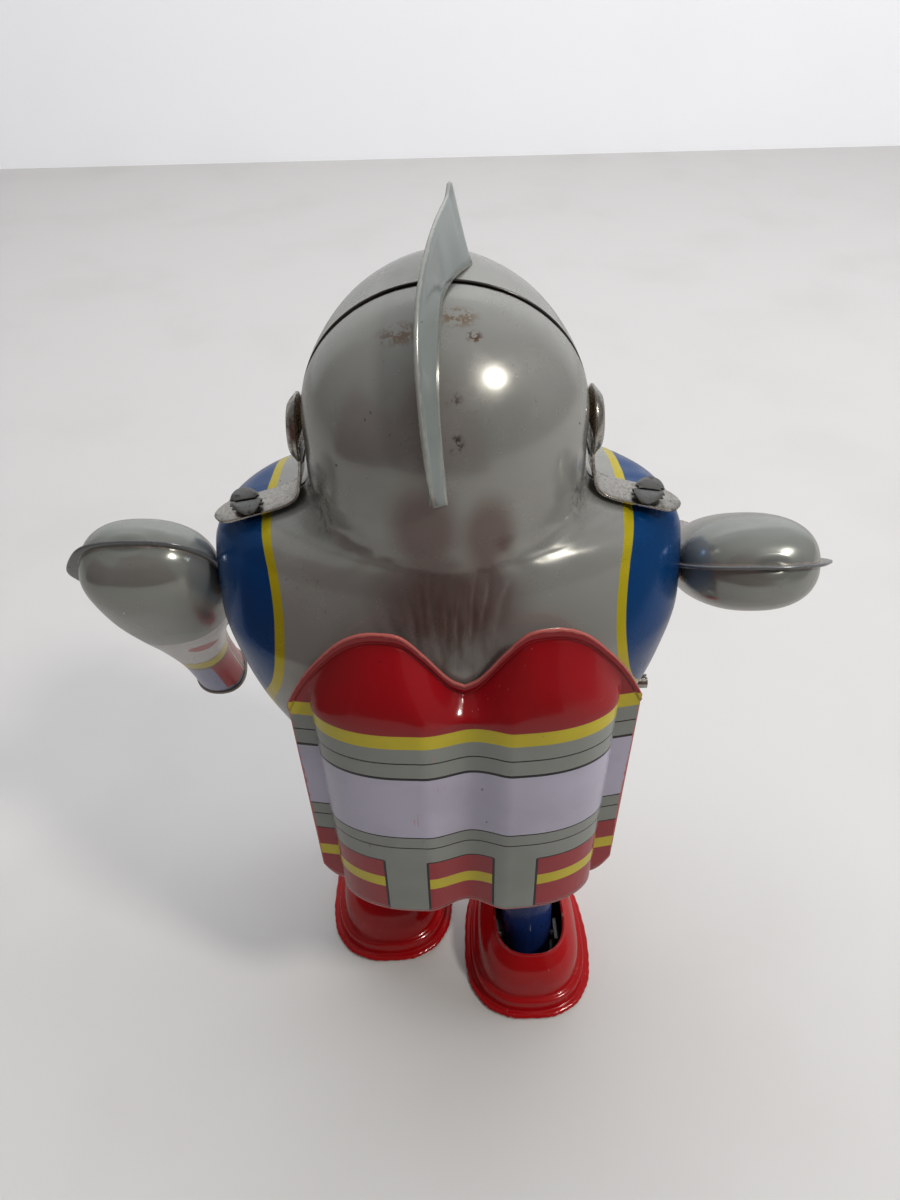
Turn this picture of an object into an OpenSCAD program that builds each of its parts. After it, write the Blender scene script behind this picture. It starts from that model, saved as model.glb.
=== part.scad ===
// Tin wind-up robot: a clockwork walking toy of pressed tinplate.
// The back faces +Y, the robot's own left is +X, and the soles stand on z = 0.

/* [Casings] */
// Thickness of the pressed tinplate shells
tin = 0.6; // [0.5:0.05:0.7]
// Gap between the front and rear casings along their seam
seam_gap = 0.4; // [0.2:0.1:0.8]
// Height of the casings' lower edge above the floor
casing_floor = 66; // [65:0.5:67]

/* [Legs] */
// Height of the hip rod above the floor
hip_z = 80; // [79:0.5:81]
// Distance of each leg from the centre plane
leg_x = 21.5; // [21:0.1:22]
// Outer diameter of the leg tubes
leg_d = 15.5; // [15:0.1:15.6]
// Length from the hip rod to the ankle pin
leg_len = 71; // [70:0.5:72]
// Angle of each leg from upright as the robot stands
stride = 8.1; // [6:0.1:8.5]

/* [Arms] */
// Height of the shoulder axles
shoulder_z = 150; // [149:0.5:151]
// Distance of each arm's middle from the centre plane
arm_x = 69; // [68.5:0.5:71]
// Angle of both arms ahead of straight down when the legs are level
arm_lead = 42; // [30:1:50]
// Swing of an arm for each degree of its leg
arm_ratio = 1.8; // [1.7:0.05:1.9]

/* [Clockwork] */
// Teeth of the great wheel on the winding arbor
great_teeth = 42; // [40:1:43]
// Teeth of the second wheel
second_teeth = 36; // [34:1:36]
// Teeth of the crank wheel
crank_teeth = 30; // [28:1:30]
// Teeth of the two driven pinions
pinion_teeth = 12; // [12:1:13]
// Teeth of the governor pinion
governor_teeth = 10; // [10:1:11]
// Distance from the centre plane to the inner faces of the motor plates
plate_in = 12.5; // [12.5:0.1:12.6]
// Throw of the two cranks
crank_throw = 2.96; // [2.5:0.02:3]

/* [Rocket pack] */
// Half of the width of the pack over its flanges
pack_half_w = 37; // [35:0.5:37]
// Height of the pack's lower edge
pack_low = 78; // [77:0.5:79]

/* [Hidden] */
$fn = 48;
running = 0.05;                 // radial clearance of every running fit
LEFT = 1;
RIGHT = -1;
body_y = 9.3;                   // puts the middle of the outline's box over the origin

// Colours of the lithographed tin and the plated and plain metal
grey = "#8f928c";
blue = "#10427c";
red = "#a3151a";
nickel = "#c9c6bf";
steel = "#9a9ca0";
brass = "#b08d3f";
black = "#222222";

// Body stations from the lower edge to the neck: height, half width, rear and front depths
BODY = [
    [casing_floor, 33.2, 26.5, 30.5], [75, 34, 27.5, 32], [90, 35.5, 29, 33.5],
    [105, 37.5, 30.5, 34.5], [118, 41, 32.2, 35.5], [131, 47, 33.6, 36.5], [142, 50, 34, 36.5],
    [150, 51.3, 33.5, 36], [160, 51.3, 31, 34.5], [166, 50, 29, 32.5], [170, 46, 28, 31],
    [172, 40, 27.5, 30], [173.5, 34, 27.3, 29.3], [176, 30, 27, 28.6], [180, 28.8, 27, 28.2],
    [186, 28.5, 27, 28]];
// Head dome above the ears
dome_z = 192;
dome_a = 28.5;
dome_b = 27;
dome_front = 28;
dome_h = 26;
dome_brow = 3.5;                // how squarely the front of the dome turns down to the face
dome_steps = 8;
DOME = [for (k = [0 : dome_steps]) let (t = 90 * k / dome_steps)
    [dome_z + dome_h * sin(t), dome_a * cos(t), dome_b * cos(t),
     dome_front * pow(max(1 - pow(sin(t), dome_brow), 0), 1 / dome_brow)]];
CASING = concat(BODY, DOME);
casing_around = 22;             // facets round half of a casing

// ---------- Shells drawn as sheets of tin ----------

// Unit normal of a grid of points at row i and column j
function sheet_normal(g, i, j) =
    let (du = g[i][min(j + 1, len(g[0]) - 1)] - g[i][max(j - 1, 0)],
         dv = g[min(i + 1, len(g) - 1)][j] - g[max(i - 1, 0)][j],
         n = cross(du, dv))
    norm(n) < 1e-6 ? [0, 0, g[0][0][2] < g[len(g) - 1][0][2] ? 1 : -1] : n / norm(n);

// A closed sheet of the given thickness whose outer face is the grid of points
module sheet(g, wall = tin, flat_edges = false) {
    rows = len(g);
    cols = len(g[0]);
    function at(side, i, j) = side * rows * cols + i * cols + j;
    inner = [for (i = [0 : rows - 1]) [for (j = [0 : cols - 1])
        let (n = sheet_normal(g, i, j), edge = flat_edges && (j == 0 || j == cols - 1))
        g[i][j] - wall * [n[0], edge ? 0 : n[1], n[2]]]];
    points = concat([for (row = g) each row], [for (row = inner) each row]);
    faces = concat(
        [for (i = [0 : rows - 2], j = [0 : cols - 2])
            [at(0, i, j), at(0, i + 1, j), at(0, i + 1, j + 1), at(0, i, j + 1)]],
        [for (i = [0 : rows - 2], j = [0 : cols - 2])
            [at(1, i, j), at(1, i, j + 1), at(1, i + 1, j + 1), at(1, i + 1, j)]],
        [for (i = [0 : rows - 2])
            [at(0, i, 0), at(1, i, 0), at(1, i + 1, 0), at(0, i + 1, 0)]],
        [for (i = [0 : rows - 2])
            [at(0, i, cols - 1), at(0, i + 1, cols - 1), at(1, i + 1, cols - 1), at(1, i, cols - 1)]],
        [for (j = [0 : cols - 2])
            [at(0, 0, j), at(0, 0, j + 1), at(1, 0, j + 1), at(1, 0, j)]],
        [for (j = [0 : cols - 2])
            [at(0, rows - 1, j), at(1, rows - 1, j), at(1, rows - 1, j + 1), at(0, rows - 1, j + 1)]]);
    polyhedron(points, faces, convexity = 6);
}

// Outline point of half a section: sweep 0 is on +X, 90 on the back, 180 on -X
function half_point(a, b, sweep, power = 2) =
    let (c = cos(sweep), s = sin(sweep), p = 2 / power)
    [a * sign(c) * pow(abs(c), p), b * pow(max(s, 0), p)];

// How square a casing's section is: round at the head, fuller below the neck
FULLNESS = [[150, 2.3], [160, 1.9], [166, 1.65], [172, 1.6], [176, 1.8], [182, 2]];
function fullness(z) = lookup(z, FULLNESS);

// Grid of half a casing from stations of height, half width and depth
function casing_grid(side) = [for (st = CASING) [for (k = [0 : casing_around])
    let (p = half_point(st[1], side > 0 ? st[2] : st[3], 180 * k / casing_around, fullness(st[0])))
    side > 0 ? [p[0], p[1] + seam_gap / 2, st[0]] : [-p[0], -p[1] - seam_gap / 2, st[0]]]];

// A strip of even thickness along a path, as a flat outline
function strip(path, t) = concat(
    [for (i = [0 : len(path) - 1]) path[i] + strip_side(path, i) * t / 2],
    [for (i = [len(path) - 1 : -1 : 0]) path[i] - strip_side(path, i) * t / 2]);
function strip_side(path, i) =
    let (d = path[min(i + 1, len(path) - 1)] - path[max(i - 1, 0)]) [-d[1], d[0]] / norm(d);

// Stands a drawing of Y across and Z up at a distance x, and thickens it towards +X
module across(x) { translate([x, 0, 0]) rotate([90, 0, 90]) children(); }

// A round bar along X from x0 to x1 at [y, z]
module bar(x0, x1, at, r) {
    across(x0) translate([at[0], at[1], 0]) cylinder(r = r, h = x1 - x0);
}

// Draws the children on the robot's left, or mirrored on its right
module on_side(side) { mirror([side == RIGHT ? 1 : 0, 0, 0]) children(); }

// ---------- Casings and trim ----------

// Openings through both casings: shoulder bushes, winding stem and pack tabs
bush_r = 4;
arbor = [5, 119];               // winding arbor, [y, z]
arbor_r = 2;
tab_places = [for (x = [-34.5, 29.5], z = [88, 136]) [x, z]];
tab_w = 4;
tab_t = 0.4;
tab_in = 8;                     // where the pack's tabs begin and end, front to back
tab_out = 31.2;

module casing_holes() {
    for (side = [LEFT, RIGHT]) bar(side * 50 - 8, side * 50 + 8, [0, shoulder_z], bush_r + running);
    bar(-55, -30, arbor, arbor_r + 0.6);
    for (p = tab_places)
        translate([p[0] - tab_w / 2 - 0.2, tab_in - 2, p[1] - tab_t / 2 - 0.2])
            cube([tab_w + 0.4, 35, tab_t + 0.4]);
}

module rear_casing() {
    color(grey) difference() {
        sheet(casing_grid(1), flat_edges = true);
        casing_holes();
    }
}

module front_casing() {
    color(grey) difference() {
        sheet(casing_grid(-1), flat_edges = true);
        casing_holes();
    }
}

// The floor of the casing, with a long hole for each leg to swing in
base_t = 0.8;
base_inset = tin + 0.35;
leg_hole_w = leg_d + 1.2;
leg_hole_l = leg_d + 6;
module base_plate() {
    rear = [for (k = [0 : casing_around])
        half_point(BODY[0][1] - base_inset, BODY[0][2] - base_inset, 180 * k / casing_around, fullness(0))];
    front = [for (k = [1 : casing_around - 1])
        -half_point(BODY[0][1] - base_inset, BODY[0][3] - base_inset, 180 * k / casing_around, fullness(0))];
    color(grey) translate([0, 0, casing_floor + 1]) linear_extrude(base_t) difference() {
        polygon(concat(rear, front));
        for (side = [LEFT, RIGHT]) translate([side * leg_x, 0]) {
            square([leg_hole_w, leg_hole_l - leg_hole_w], center = true);
            for (end = [-1, 1]) translate([0, end * (leg_hole_l - leg_hole_w) / 2])
                circle(d = leg_hole_w);
        }
    }
}

// Folded tabs that hold the casings together, just inside the seam
seam_tabs = [[33.4, 90], [36.3, 112], [46.9, 138]];
seam_tab_l = 5;
module casing_tabs() {
    color(grey) for (side = [LEFT, RIGHT], p = seam_tabs)
        translate([side * p[0] - tab_t / 2, -3, p[1] - seam_tab_l / 2]) cube([tab_t, 6, seam_tab_l]);
}

// Crest: a blade folded along its ridge. Each station holds the angle from the top of the head,
// the radius and the x of its base, then the same three of its ridge.
CREST = [
    [-20, 27.75, -4, -30, 31.2, -1.5], [-17, 27.5, -4.2, -22.5, 41.1, -2],
    [-12, 27, -3.4, -15, 38.6, -1.3], [0, 26.6, -0.8, -2, 36.2, 0.6], [15, 26.6, 1.4, 14, 35, 2.4],
    [30, 26.8, 2, 30, 34.2, 3.9], [45, 27, 2.5, 45, 33.4, 4.4], [60, 27.3, 2.6, 60, 32.4, 4.1],
    [75, 27.5, 2.3, 75, 31.4, 3.5], [88, 27.6, 1.9, 88, 30.4, 2.8], [99, 27.6, 1.6, 98, 28.6, 2.2]];
crest_base_w = 3.4;
crest_ridge_w = 0.9;
function crest_point(x, angle, r) = [x, r * sin(angle), dome_z + r * cos(angle)];
module crest() {
    points = [for (s = CREST) each [
        crest_point(s[2] - crest_base_w / 2, s[0], s[1]),
        crest_point(s[2] + crest_base_w / 2, s[0], s[1]),
        crest_point(s[5] + crest_ridge_w / 2, s[3], s[4]),
        crest_point(s[5] - crest_ridge_w / 2, s[3], s[4])]];
    last = 4 * (len(CREST) - 1);
    faces = concat([[3, 2, 1], [3, 1, 0]],
        [for (i = [0 : 4 : last - 4], k = [0 : 3]) let (next = (k + 1) % 4) each [
            [i + k, i + next, i + 4 + next], [i + k, i + 4 + next, i + 4 + k]]],
        [[last, last + 1, last + 2], [last, last + 2, last + 3]]);
    color(grey) polyhedron(points, faces, convexity = 4);
}

// Face and chest pressings: plain shapes that stand just off the front casing
grille_front = -28.9;
visor_r = 28.9;
visor_t = 1;
module visor() {
    color(black) intersection() {
        translate([0, 0, 196]) rotate_extrude()
            translate([visor_r, -4.5]) square([visor_t, 9]);
        translate([-17, -35, 190]) cube([34, 22, 12]);
    }
}

module mouth_grille() {
    color(nickel) translate([0, grille_front, 182]) difference() {
        translate([-10, -1, -4]) cube([20, 1, 8]);
        for (k = [-2 : 2]) translate([k * 3.4 - 0.7, -1.6, -2.8]) cube([1.4, 1, 5.6]);
    }
}

chest_front = -36.9;
module chest_plate() {
    color(blue) translate([0, chest_front, 138]) rotate([90, 0, 0]) difference() {
        union() {
            translate([-15, -11, 0]) cube([30, 22, 0.8]);
            cylinder(r = 8, h = 1.8);
        }
        translate([0, 0, 1.2]) cylinder(r = 6.8, h = 1);
    }
}

// Ear dishes and the straps that run from them down over the shoulders
ear_z = 189;
ear_r = 7.2;
module ear_dish(side) {
    color(nickel) on_side(side) translate([29.2, 0, ear_z]) rotate([0, 90, 0]) rotate_extrude()
        polygon([[0, 1.5], [ear_r - 2, 1.5], [ear_r - 0.5, 0], [ear_r, 0], [ear_r - 1.7, 2], [0, 2]]);
}

strap_w = 8.6;
strap_y = 1.5;                  // how far the straps sit behind the seam
strap_t = 0.5;
STRAP = [
    [29.8, 181.4], [30, 178.6], [30.3, 177.2], [31.4, 175.8], [33.4, 174.9], [37, 174.3], [44, 173.3], [51.5, 171.6]];
module ear_strap(side) {
    color(nickel) on_side(side) translate([0, strap_y + strap_w / 2, 0])
        rotate([90, 0, 0])
        linear_extrude(strap_w) polygon(strip(STRAP, strap_t));
}

// A split tab bent apart into two round wings on each strap
module split_tab(side) {
    color(steel) on_side(side) translate([45, strap_y, 173.9]) rotate([0, 10, 0]) intersection() {
        union() for (end = [-1, 1]) translate([0, end * 3.4, 0]) cylinder(r = 3.1, h = 0.7);
        translate([-3, -6.5, -1]) cube([6, 13, 3]);
    }
}

// ---------- Rocket pack ----------

pack_shift = -2.5;              // how far the pack sits to the robot's right
pack_plane = 34.8;              // flange plane at the middle of the back
pack_wrap = 3.2;                // how far the flanges bend towards the casing
pack_deep = 8;                  // how far the two lobes stand out of it
pack_taper = 1.4;
pack_corner = 5;                // rise of the lower edge at its two corners
pack_rim = 3;                   // flat rim along the upper edge
pack_full = 143;                // height at which the lobes reach their full depth
pack_fold = 32;                 // where the lobes' side walls meet the flanges
PACK_TOP = [[0, 149.5], [3.2, 151.6], [8, 158], [12, 162.4], [16, 163.4], [20.4, 163], [25, 160.3],
    [30, 154.6], [33.6, 149.3], [37, 142.5]];   // the upper edge: [distance out, height]
PACK_X = [0, 2, 4, 6, 8, 10, 13, 16, 19, 21.5, 24, 26, 28, 29.5, 30.7, 31.6, 32, 34.5, pack_half_w];
PACK_DOME = [1, 0.82, 0.64, 0.47, 0.31, 0.18, 0.07];   // shares of the way down the dome
function smooth(t) = let (c = min(max(t, 0), 1)) c * c * (3 - 2 * c);
function pack_lobe(x) = (0.58 + 0.42 * smooth(abs(x) / 10))
    * sqrt(max(1 - pow(max(abs(x) - 13, 0) / (pack_fold - 13), 2.4), 0));
function pack_point(x, z, rise) =
    [pack_shift + x * (1 - pack_taper / pack_half_w * (1 - min(max((z - pack_low) / 65, 0), 1))),
     pack_plane - pack_wrap * pow(x / pack_half_w, 2) + pack_deep * pack_lobe(x) * rise, z];
function pack_column(x) =
    let (top = lookup(abs(x), PACK_TOP), fold = top - pack_rim, dome = max(fold - pack_full, 3.5),
         foot = pack_low + pack_corner * pow(max((abs(x) - pack_fold) / 5, 0), 2))
    concat([for (t = [0, 0.3, 0.65]) pack_point(x, foot + t * (fold - dome - foot), 1)],
        [for (t = PACK_DOME) pack_point(x, fold - t * dome, sin(90 * t))],
        [pack_point(x, fold, 0), pack_point(x, top, 0)]);
pack_last = len(PACK_X) - 1;
function pack_grid() =
    let (columns = [for (j = [-pack_last : pack_last]) pack_column(-sign(j) * PACK_X[abs(j)])])
    [for (i = [0 : len(columns[0]) - 1]) [for (column = columns) column[i]]];
module rocket_pack() { color(red) sheet(pack_grid()); }

module pack_tabs() {
    color(grey) for (p = tab_places)
        translate([p[0] - tab_w / 2, tab_in, p[1] - tab_t / 2])
            cube([tab_w, tab_out - tab_in, tab_t]);
}

// ---------- Clockwork ----------

pressure = 25;                  // pressure angle of every tooth
great_m = 0.75;                 // modules of the three meshes
second_m = 0.7;
crank_m = 0.6;
crank_at = [0, 101];
hip_at = [0, hip_z];
// A place that is r1 from p1 and r2 from p2, to the left of the way from p2 to p1
function meet(p1, r1, p2, r2) =
    let (d = norm(p2 - p1), a = (d * d + r1 * r1 - r2 * r2) / (2 * d), h = sqrt(r1 * r1 - a * a),
         u = (p2 - p1) / d) p1 + a * u + h * [u[1], -u[0]];
second_at = meet(arbor, great_m * (great_teeth + pinion_teeth) / 2,
                 crank_at, second_m * (second_teeth + pinion_teeth) / 2);
governor_at = crank_at + crank_m * (crank_teeth + governor_teeth) / 2 * [cos(-45), sin(-45)];
function heading(from, to) = atan2(to[1] - from[1], to[0] - from[0]);

// Outline of an involute gear with a tooth on the +X side
function gear_points(teeth, m) =
    let (pitch_r = m * teeth / 2, base_r = pitch_r * cos(pressure), tip_r = pitch_r + 0.8 * m,
         root_r = pitch_r - 1.05 * m, low_r = max(base_r, root_r + 0.02),
         half = 90 / teeth - 0.05 * 180 / PI / pitch_r,
         spread = function(r) let (a = acos(min(base_r / r, 1))) tan(a) * 180 / PI - a,
         flank = [for (k = [0 : 3]) let (r = low_r + (tip_r - low_r) * k / 3)
             [r, half + spread(pitch_r) - spread(r)]])
    [for (t = [0 : teeth - 1]) let (mid = 360 * t / teeth) each concat(
        [[root_r, mid - flank[0][1]]], [for (f = flank) [f[0], mid - f[1]]],
        [for (k = [3 : -1 : 0]) [flank[k][0], mid + flank[k][1]]], [[root_r, mid + flank[0][1]]])];

// A gear on a shaft at [y, z], from x0 to x1, with a tooth or a gap towards the other gear
module gear(teeth, m, x0, x1, at, towards, gap = false, bore = 0) {
    turn = heading(at, towards) + (gap ? 180 / teeth : 0);
    difference() {
        across(x0) translate([at[0], at[1], 0]) rotate([0, 0, turn]) linear_extrude(x1 - x0)
            polygon([for (p = gear_points(teeth, m)) p[0] * [cos(p[1]), sin(p[1])]]);
        if (bore > 0) bar(x0 - 1, x1 + 1, at, bore);
    }
}

plate_t = 1;
PILLARS = [[14.3, 135.1], [-10, 131], [20.5, 106], [-14, 92]];
pillar_r = 1.8;
pivot_r = 1.2;                  // radius of the second and governor arbors
crank_r = 2;
hip_r = 2;

module motor_plate(side) {
    x = side == LEFT ? plate_in : -plate_in - plate_t;
    corners = [PILLARS[0], PILLARS[1], second_at, PILLARS[3], hip_at, governor_at, PILLARS[2]];
    color(steel) difference() {
        hull() for (p = corners) bar(x, x + plate_t, p, 4.4);
        for (hole = [[arbor, arbor_r], [second_at, pivot_r], [crank_at, crank_r], [governor_at, pivot_r]])
            bar(x - 1, x + 2, hole[0], hole[1] + running);
        bar(x - 1, x + 2, hip_at, hip_r);
    }
}

module motor_pillars() { color(steel) for (p = PILLARS) bar(-plate_in, plate_in, p, pillar_r); }

// U-shaped bracket that clamps the motor between the hip rod and the base plate
bracket_t = 0.9;
module motor_bracket() {
    low = casing_floor + 1 + base_t;
    color(steel) difference() {
        translate([-plate_in, -4, low]) cube([2 * plate_in, 8, hip_z + 4 - low]);
        translate([bracket_t - plate_in, -5, low + bracket_t])
            cube([2 * (plate_in - bracket_t), 10, 60]);
        bar(-20, 20, hip_at, hip_r);
    }
}

hip_end = 24.5;
module hip_rod() {
    color(steel) {
        bar(-hip_end, hip_end, hip_at, hip_r);
        for (side = [LEFT, RIGHT]) bar(side * hip_end - 0.5, side * hip_end + 0.5, hip_at, 3.2);
    }
}

// Spiral spring: even turns that open out to a pillar
spring_turns = 8;
spring_in = 3;
spring_out = 12.2;
spring_step = 15;
spring_w = 12;
function spring_r(a) = spring_in + (spring_out - spring_in) * a / (360 * spring_turns);
module mainspring() {
    start = heading(arbor, PILLARS[0]) - 60;
    coil = [for (a = [0 : spring_step : 360 * spring_turns])
        spring_r(a) * [cos(start + a), sin(start + a)]];
    tail = [for (a = [20, 40, 60])
        (spring_out + (norm(PILLARS[0] - arbor) - pillar_r - 0.4 - spring_out) * pow(a / 60, 2))
        * [cos(start + a), sin(start + a)]];
    color(steel) across(-spring_w / 2) translate([arbor[0], arbor[1], 0])
        linear_extrude(spring_w) polygon(strip(concat(coil, tail), 0.35));
}

// The stem's slotted end, its seat for the key and a neck on each side of it: [from, to, radius]
STEM = [[-48, -45.2, 1.75], [-45.2, -44.4, 1.4], [-44.4, -41.6, 1.9], [-41.6, -40.6, 1.4],
    [-40.6, plate_in + plate_t, arbor_r]];
slot_w = 1;
module winding_arbor() {
    color(steel) difference() {
        union() for (s = STEM) bar(s[0], s[1], arbor, s[2]);
        translate([STEM[0][0] - 1, arbor[0] - slot_w / 2, arbor[1] - 5])
            cube([STEM[0][1] - STEM[0][0] + 1, slot_w, 10]);
    }
}

ratchet_x = [-9.2, -8.2];
ratchet_teeth = 14;
ratchet_r = 5.2;
ratchet_tooth = 0.9;
module ratchet_wheel() {
    outline = [for (t = [0 : ratchet_teeth - 1]) let (a = 360 * t / ratchet_teeth)
        for (r = [ratchet_r - ratchet_tooth, ratchet_r]) r * [cos(a), sin(a)]];
    color(brass) difference() {
        across(ratchet_x[0]) translate([arbor[0], arbor[1], 0])
            linear_extrude(ratchet_x[1] - ratchet_x[0]) polygon(outline);
        bar(-20, 0, arbor, arbor_r);
    }
}

great_x = [-11.2, -9.6];
module great_wheel() {
    color(brass) difference() {
        gear(great_teeth, great_m, great_x[0], great_x[1], arbor, second_at,
             bore = arbor_r + running);
        for (a = [20 : 120 : 260]) bar(-20, 0, arbor + 10.6 * [cos(a), sin(a)], 3.4);
    }
}

// The click pivots on the great wheel and stands just clear of the ratchet's teeth
click_at = arbor + 10.5 * [cos(80), sin(80)];
click_tip = arbor + (ratchet_r + 1.1) * [cos(20), sin(20)];
module click() {
    aim = heading(click_at, click_tip);
    color(steel) {
        difference() {
            across(ratchet_x[0]) translate([click_at[0], click_at[1], 0]) linear_extrude(1) union() {
                circle(1.8);
                rotate(aim) polygon([[0, 1.2], [norm(click_tip - click_at), 0.2],
                    [norm(click_tip - click_at), -0.3], [0, -1.2]]);
            }
            bar(-12, 0, click_at, 0.8);
        }
        bar(great_x[1], ratchet_x[1] + 0.5, click_at, 0.8);
    }
}

module click_spring() {
    color(brass) across(ratchet_x[0]) translate([arbor[0], arbor[1], 0]) linear_extrude(0.6)
        polygon(strip([for (a = [95 : 10 : 155]) 9.2 * [cos(a), sin(a)]], 0.4));
}

module second_pinion() {
    color(steel) {
        bar(-plate_in - plate_t, plate_in + plate_t, second_at, pivot_r);
        gear(pinion_teeth, great_m, -11.6, -9.2, second_at, arbor, gap = true, bore = pivot_r);
    }
}

second_x = [8, 9.2];
module second_wheel() {
    color(brass) gear(second_teeth, second_m, second_x[0], second_x[1], second_at, crank_at,
        bore = pivot_r);
}

crank_end = 15.6;
module crank_pinion() {
    color(steel) {
        bar(-crank_end, crank_end, crank_at, crank_r);
        gear(pinion_teeth, second_m, 7.4, 9.7, crank_at, second_at, gap = true, bore = crank_r);
    }
}

crank_wheel_x = [10, 11];
module crank_wheel() {
    color(brass) gear(crank_teeth, crank_m, crank_wheel_x[0], crank_wheel_x[1], crank_at,
        governor_at, bore = crank_r);
}

// Cranks on the shaft's ends, half a turn apart
module crank(side) {
    pin = crank_at + [side * crank_throw, 0];
    color(steel) on_side(side) difference() {
        union() {
            bar(14.4, crank_end, crank_at, 5.2);
            bar(crank_end, 18.9, pin, 1.2);
        }
        bar(10, crank_end, crank_at, crank_r);
    }
}

module governor_pinion() {
    color(steel) {
        bar(-plate_in - plate_t, plate_in + plate_t, governor_at, pivot_r);
        gear(governor_teeth, crank_m, 9.4, 11.6, governor_at, crank_at, gap = true, bore = pivot_r);
    }
}

module flywheel() {
    color(brass) difference() {
        bar(-3, 3, governor_at, 7);
        bar(-4, 4, governor_at, pivot_r);
        for (end = [-1, 1]) bar(end * 3 - 1.8, end * 3 + 1.8, governor_at, 5.6);
    }
}

// ---------- Legs ----------

tube_top = 74;
tube_wall = 0.6;
ankle_r = 1.5;
ankle_z = hip_z - leg_len * cos(stride);
ankle_low = 3;                  // tube below the ankle pin
function ankle_y(side) = -side * leg_len * sin(stride);

// Draws the children as a level leg, then swings them to where the leg stands at rest
module leg_frame(side) {
    translate([0, 0, hip_z]) rotate([-side * stride, 0, 0]) translate([0, 0, -hip_z]) children();
}

module leg_tube(side) {
    low = hip_z - leg_len - ankle_low;
    color(blue) leg_frame(side) difference() {
        translate([side * leg_x, 0, low]) cylinder(d = leg_d, h = tube_top - low);
        translate([side * leg_x, 0, low - 1]) cylinder(r = leg_d / 2 - tube_wall, h = tube_top - low + 2);
        bar(side * leg_x - 10, side * leg_x + 10, [0, hip_z - leg_len], ankle_r + running);
    }
}

lever_x = [19.5, 20.5];
lever_w = 7;
lever_pin = 45.7;               // from the hip rod up to the pin that moves the arm
lever_pin_r = 1.2;
// Outline above the hip: it bends forward round the winding arbor
LEVER = [[-3.5, -5.8], [3.5, -5.8], [3.5, 30], [1.5, 33], [-3.2, 35], [-3.2, 42], [0, 44],
    [0, lever_pin], [-3.5, lever_pin], [-7.2, 43], [-7.2, 33], [-3.5, 29]];
module leg_lever(side) {
    color(steel) leg_frame(side) {
        difference() {
            union() {
                translate([side * leg_x, 0, tube_top]) cylinder(d = leg_d, h = 0.8);
                on_side(side) across(lever_x[0]) linear_extrude(lever_x[1] - lever_x[0])
                    polygon([for (p = LEVER) [p[0], hip_z + p[1]]]);
                on_side(side) bar(lever_x[0], lever_x[1], [0, hip_z + lever_pin], lever_w / 2);
            }
            on_side(side) bar(18, 22, hip_at, hip_r + running);
            on_side(side) translate([lever_x[0] - 1, -1.5, crank_at[1] - 4.5]) cube([3, 3, 9]);
        }
        on_side(side) bar(lever_x[1], 24, [0, hip_z + lever_pin], lever_pin_r);
    }
}

// ---------- Shoes ----------

shoe_x = 22;
shoe_half_w = 19.75;
shoe_toe = 33;                  // from the ankle to the toe and to the heel
shoe_heel = 22.5;
shoe_around = 32;
open_half_w = 10.5;
open_front = 15.2;
open_rear = 12.8;
// Rings of the shoe, up the outside and back down the inside: height, inset from the sole's
// outline, and how far the ring has gone from there to the opening's outline
SHOE = [
    [0, 0, 0], [1.4, 0, 0], [1.8, 1.3, 0], [5.6, 1.9, 0], [6.2, 3.4, 0], [12, 4.2, 0],
    [16.5, 5.8, 0], [19.4, 8.2, 0], [21, 8.8, 0.5], [21.4, 8.8, 1], [20.7, 8.8, 1],
    [20.3, 9.3, 0.6], [18.8, 8.9, 0], [16, 6.5, 0], [11.8, 4.9, 0], [6.8, 4.1, 0],
    [5, 2.6, 0], [2.2, 2, 0], [1.2, 0.7, 0], [0, 0.7, 0]];
function round_point(w, front, rear, turn) =
    let (p = 2 / 2.5, c = cos(turn), s = sin(turn))
    [w * sign(c) * pow(abs(c), p), (rear - front) / 2 + (rear + front) / 2 * sign(s) * pow(abs(s), p)];
function shoe_point(st, turn) =
    let (sole = round_point(shoe_half_w - st[1], shoe_toe - st[1], shoe_heel - st[1], turn),
         rim = round_point(open_half_w, open_front, open_rear, turn))
    [each (sole * (1 - st[2]) + rim * st[2]), st[0]];

// Puts the children, drawn round the ankle's middle at floor level, under a foot
module shoe_frame(side) { translate([side * shoe_x, ankle_y(side), 0]) children(); }

module shoe(side) {
    n = len(SHOE);
    c = shoe_around;
    points = [for (st = SHOE, j = [0 : c - 1]) shoe_point(st, 360 * j / c)];
    faces = [for (i = [0 : n - 1], j = [0 : c - 1])
        let (up = (i + 1) % n, next = (j + 1) % c)
        [i * c + j, up * c + j, up * c + next, i * c + next]];
    color(red) shoe_frame(side) polyhedron(points, faces, convexity = 6);
}

sole_z = 2.5;
sole_t = 0.8;
roller_y = -19;
roller_r = 4.4;
roller_w = 6;
roller_axle_r = 1;
module sole_plate(side) {
    foot = side * (leg_x - shoe_x);
    color(steel) shoe_frame(side) difference() {
        union() {
            translate([0, 0, sole_z]) linear_extrude(sole_t) polygon([for (j = [0 : shoe_around - 1])
                round_point(shoe_half_w - 3, shoe_toe - 3, shoe_heel - 3, 360 * j / shoe_around)]);
            for (end = [-1, 1]) {
                translate([foot + end * 9.2 - 0.5, -3.5, sole_z]) cube([1, 7, ankle_z + 3.5 - sole_z]);
                translate([end * 4.4 - 0.4, roller_y - 2.4, sole_z]) cube([0.8, 4.8, 4.6]);
            }
        }
        bar(-20, 20, [0, ankle_z], ankle_r);
        translate([-3.7, roller_y - 5, 0]) cube([7.4, 10, 5]);
        bar(-8, 8, [roller_y, roller_r], roller_axle_r);
    }
}

module ankle_pin(side) {
    color(steel) shoe_frame(side) translate([side * (leg_x - shoe_x), 0, 0])
        bar(-10.2, 10.2, [0, ankle_z], ankle_r);
}

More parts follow.
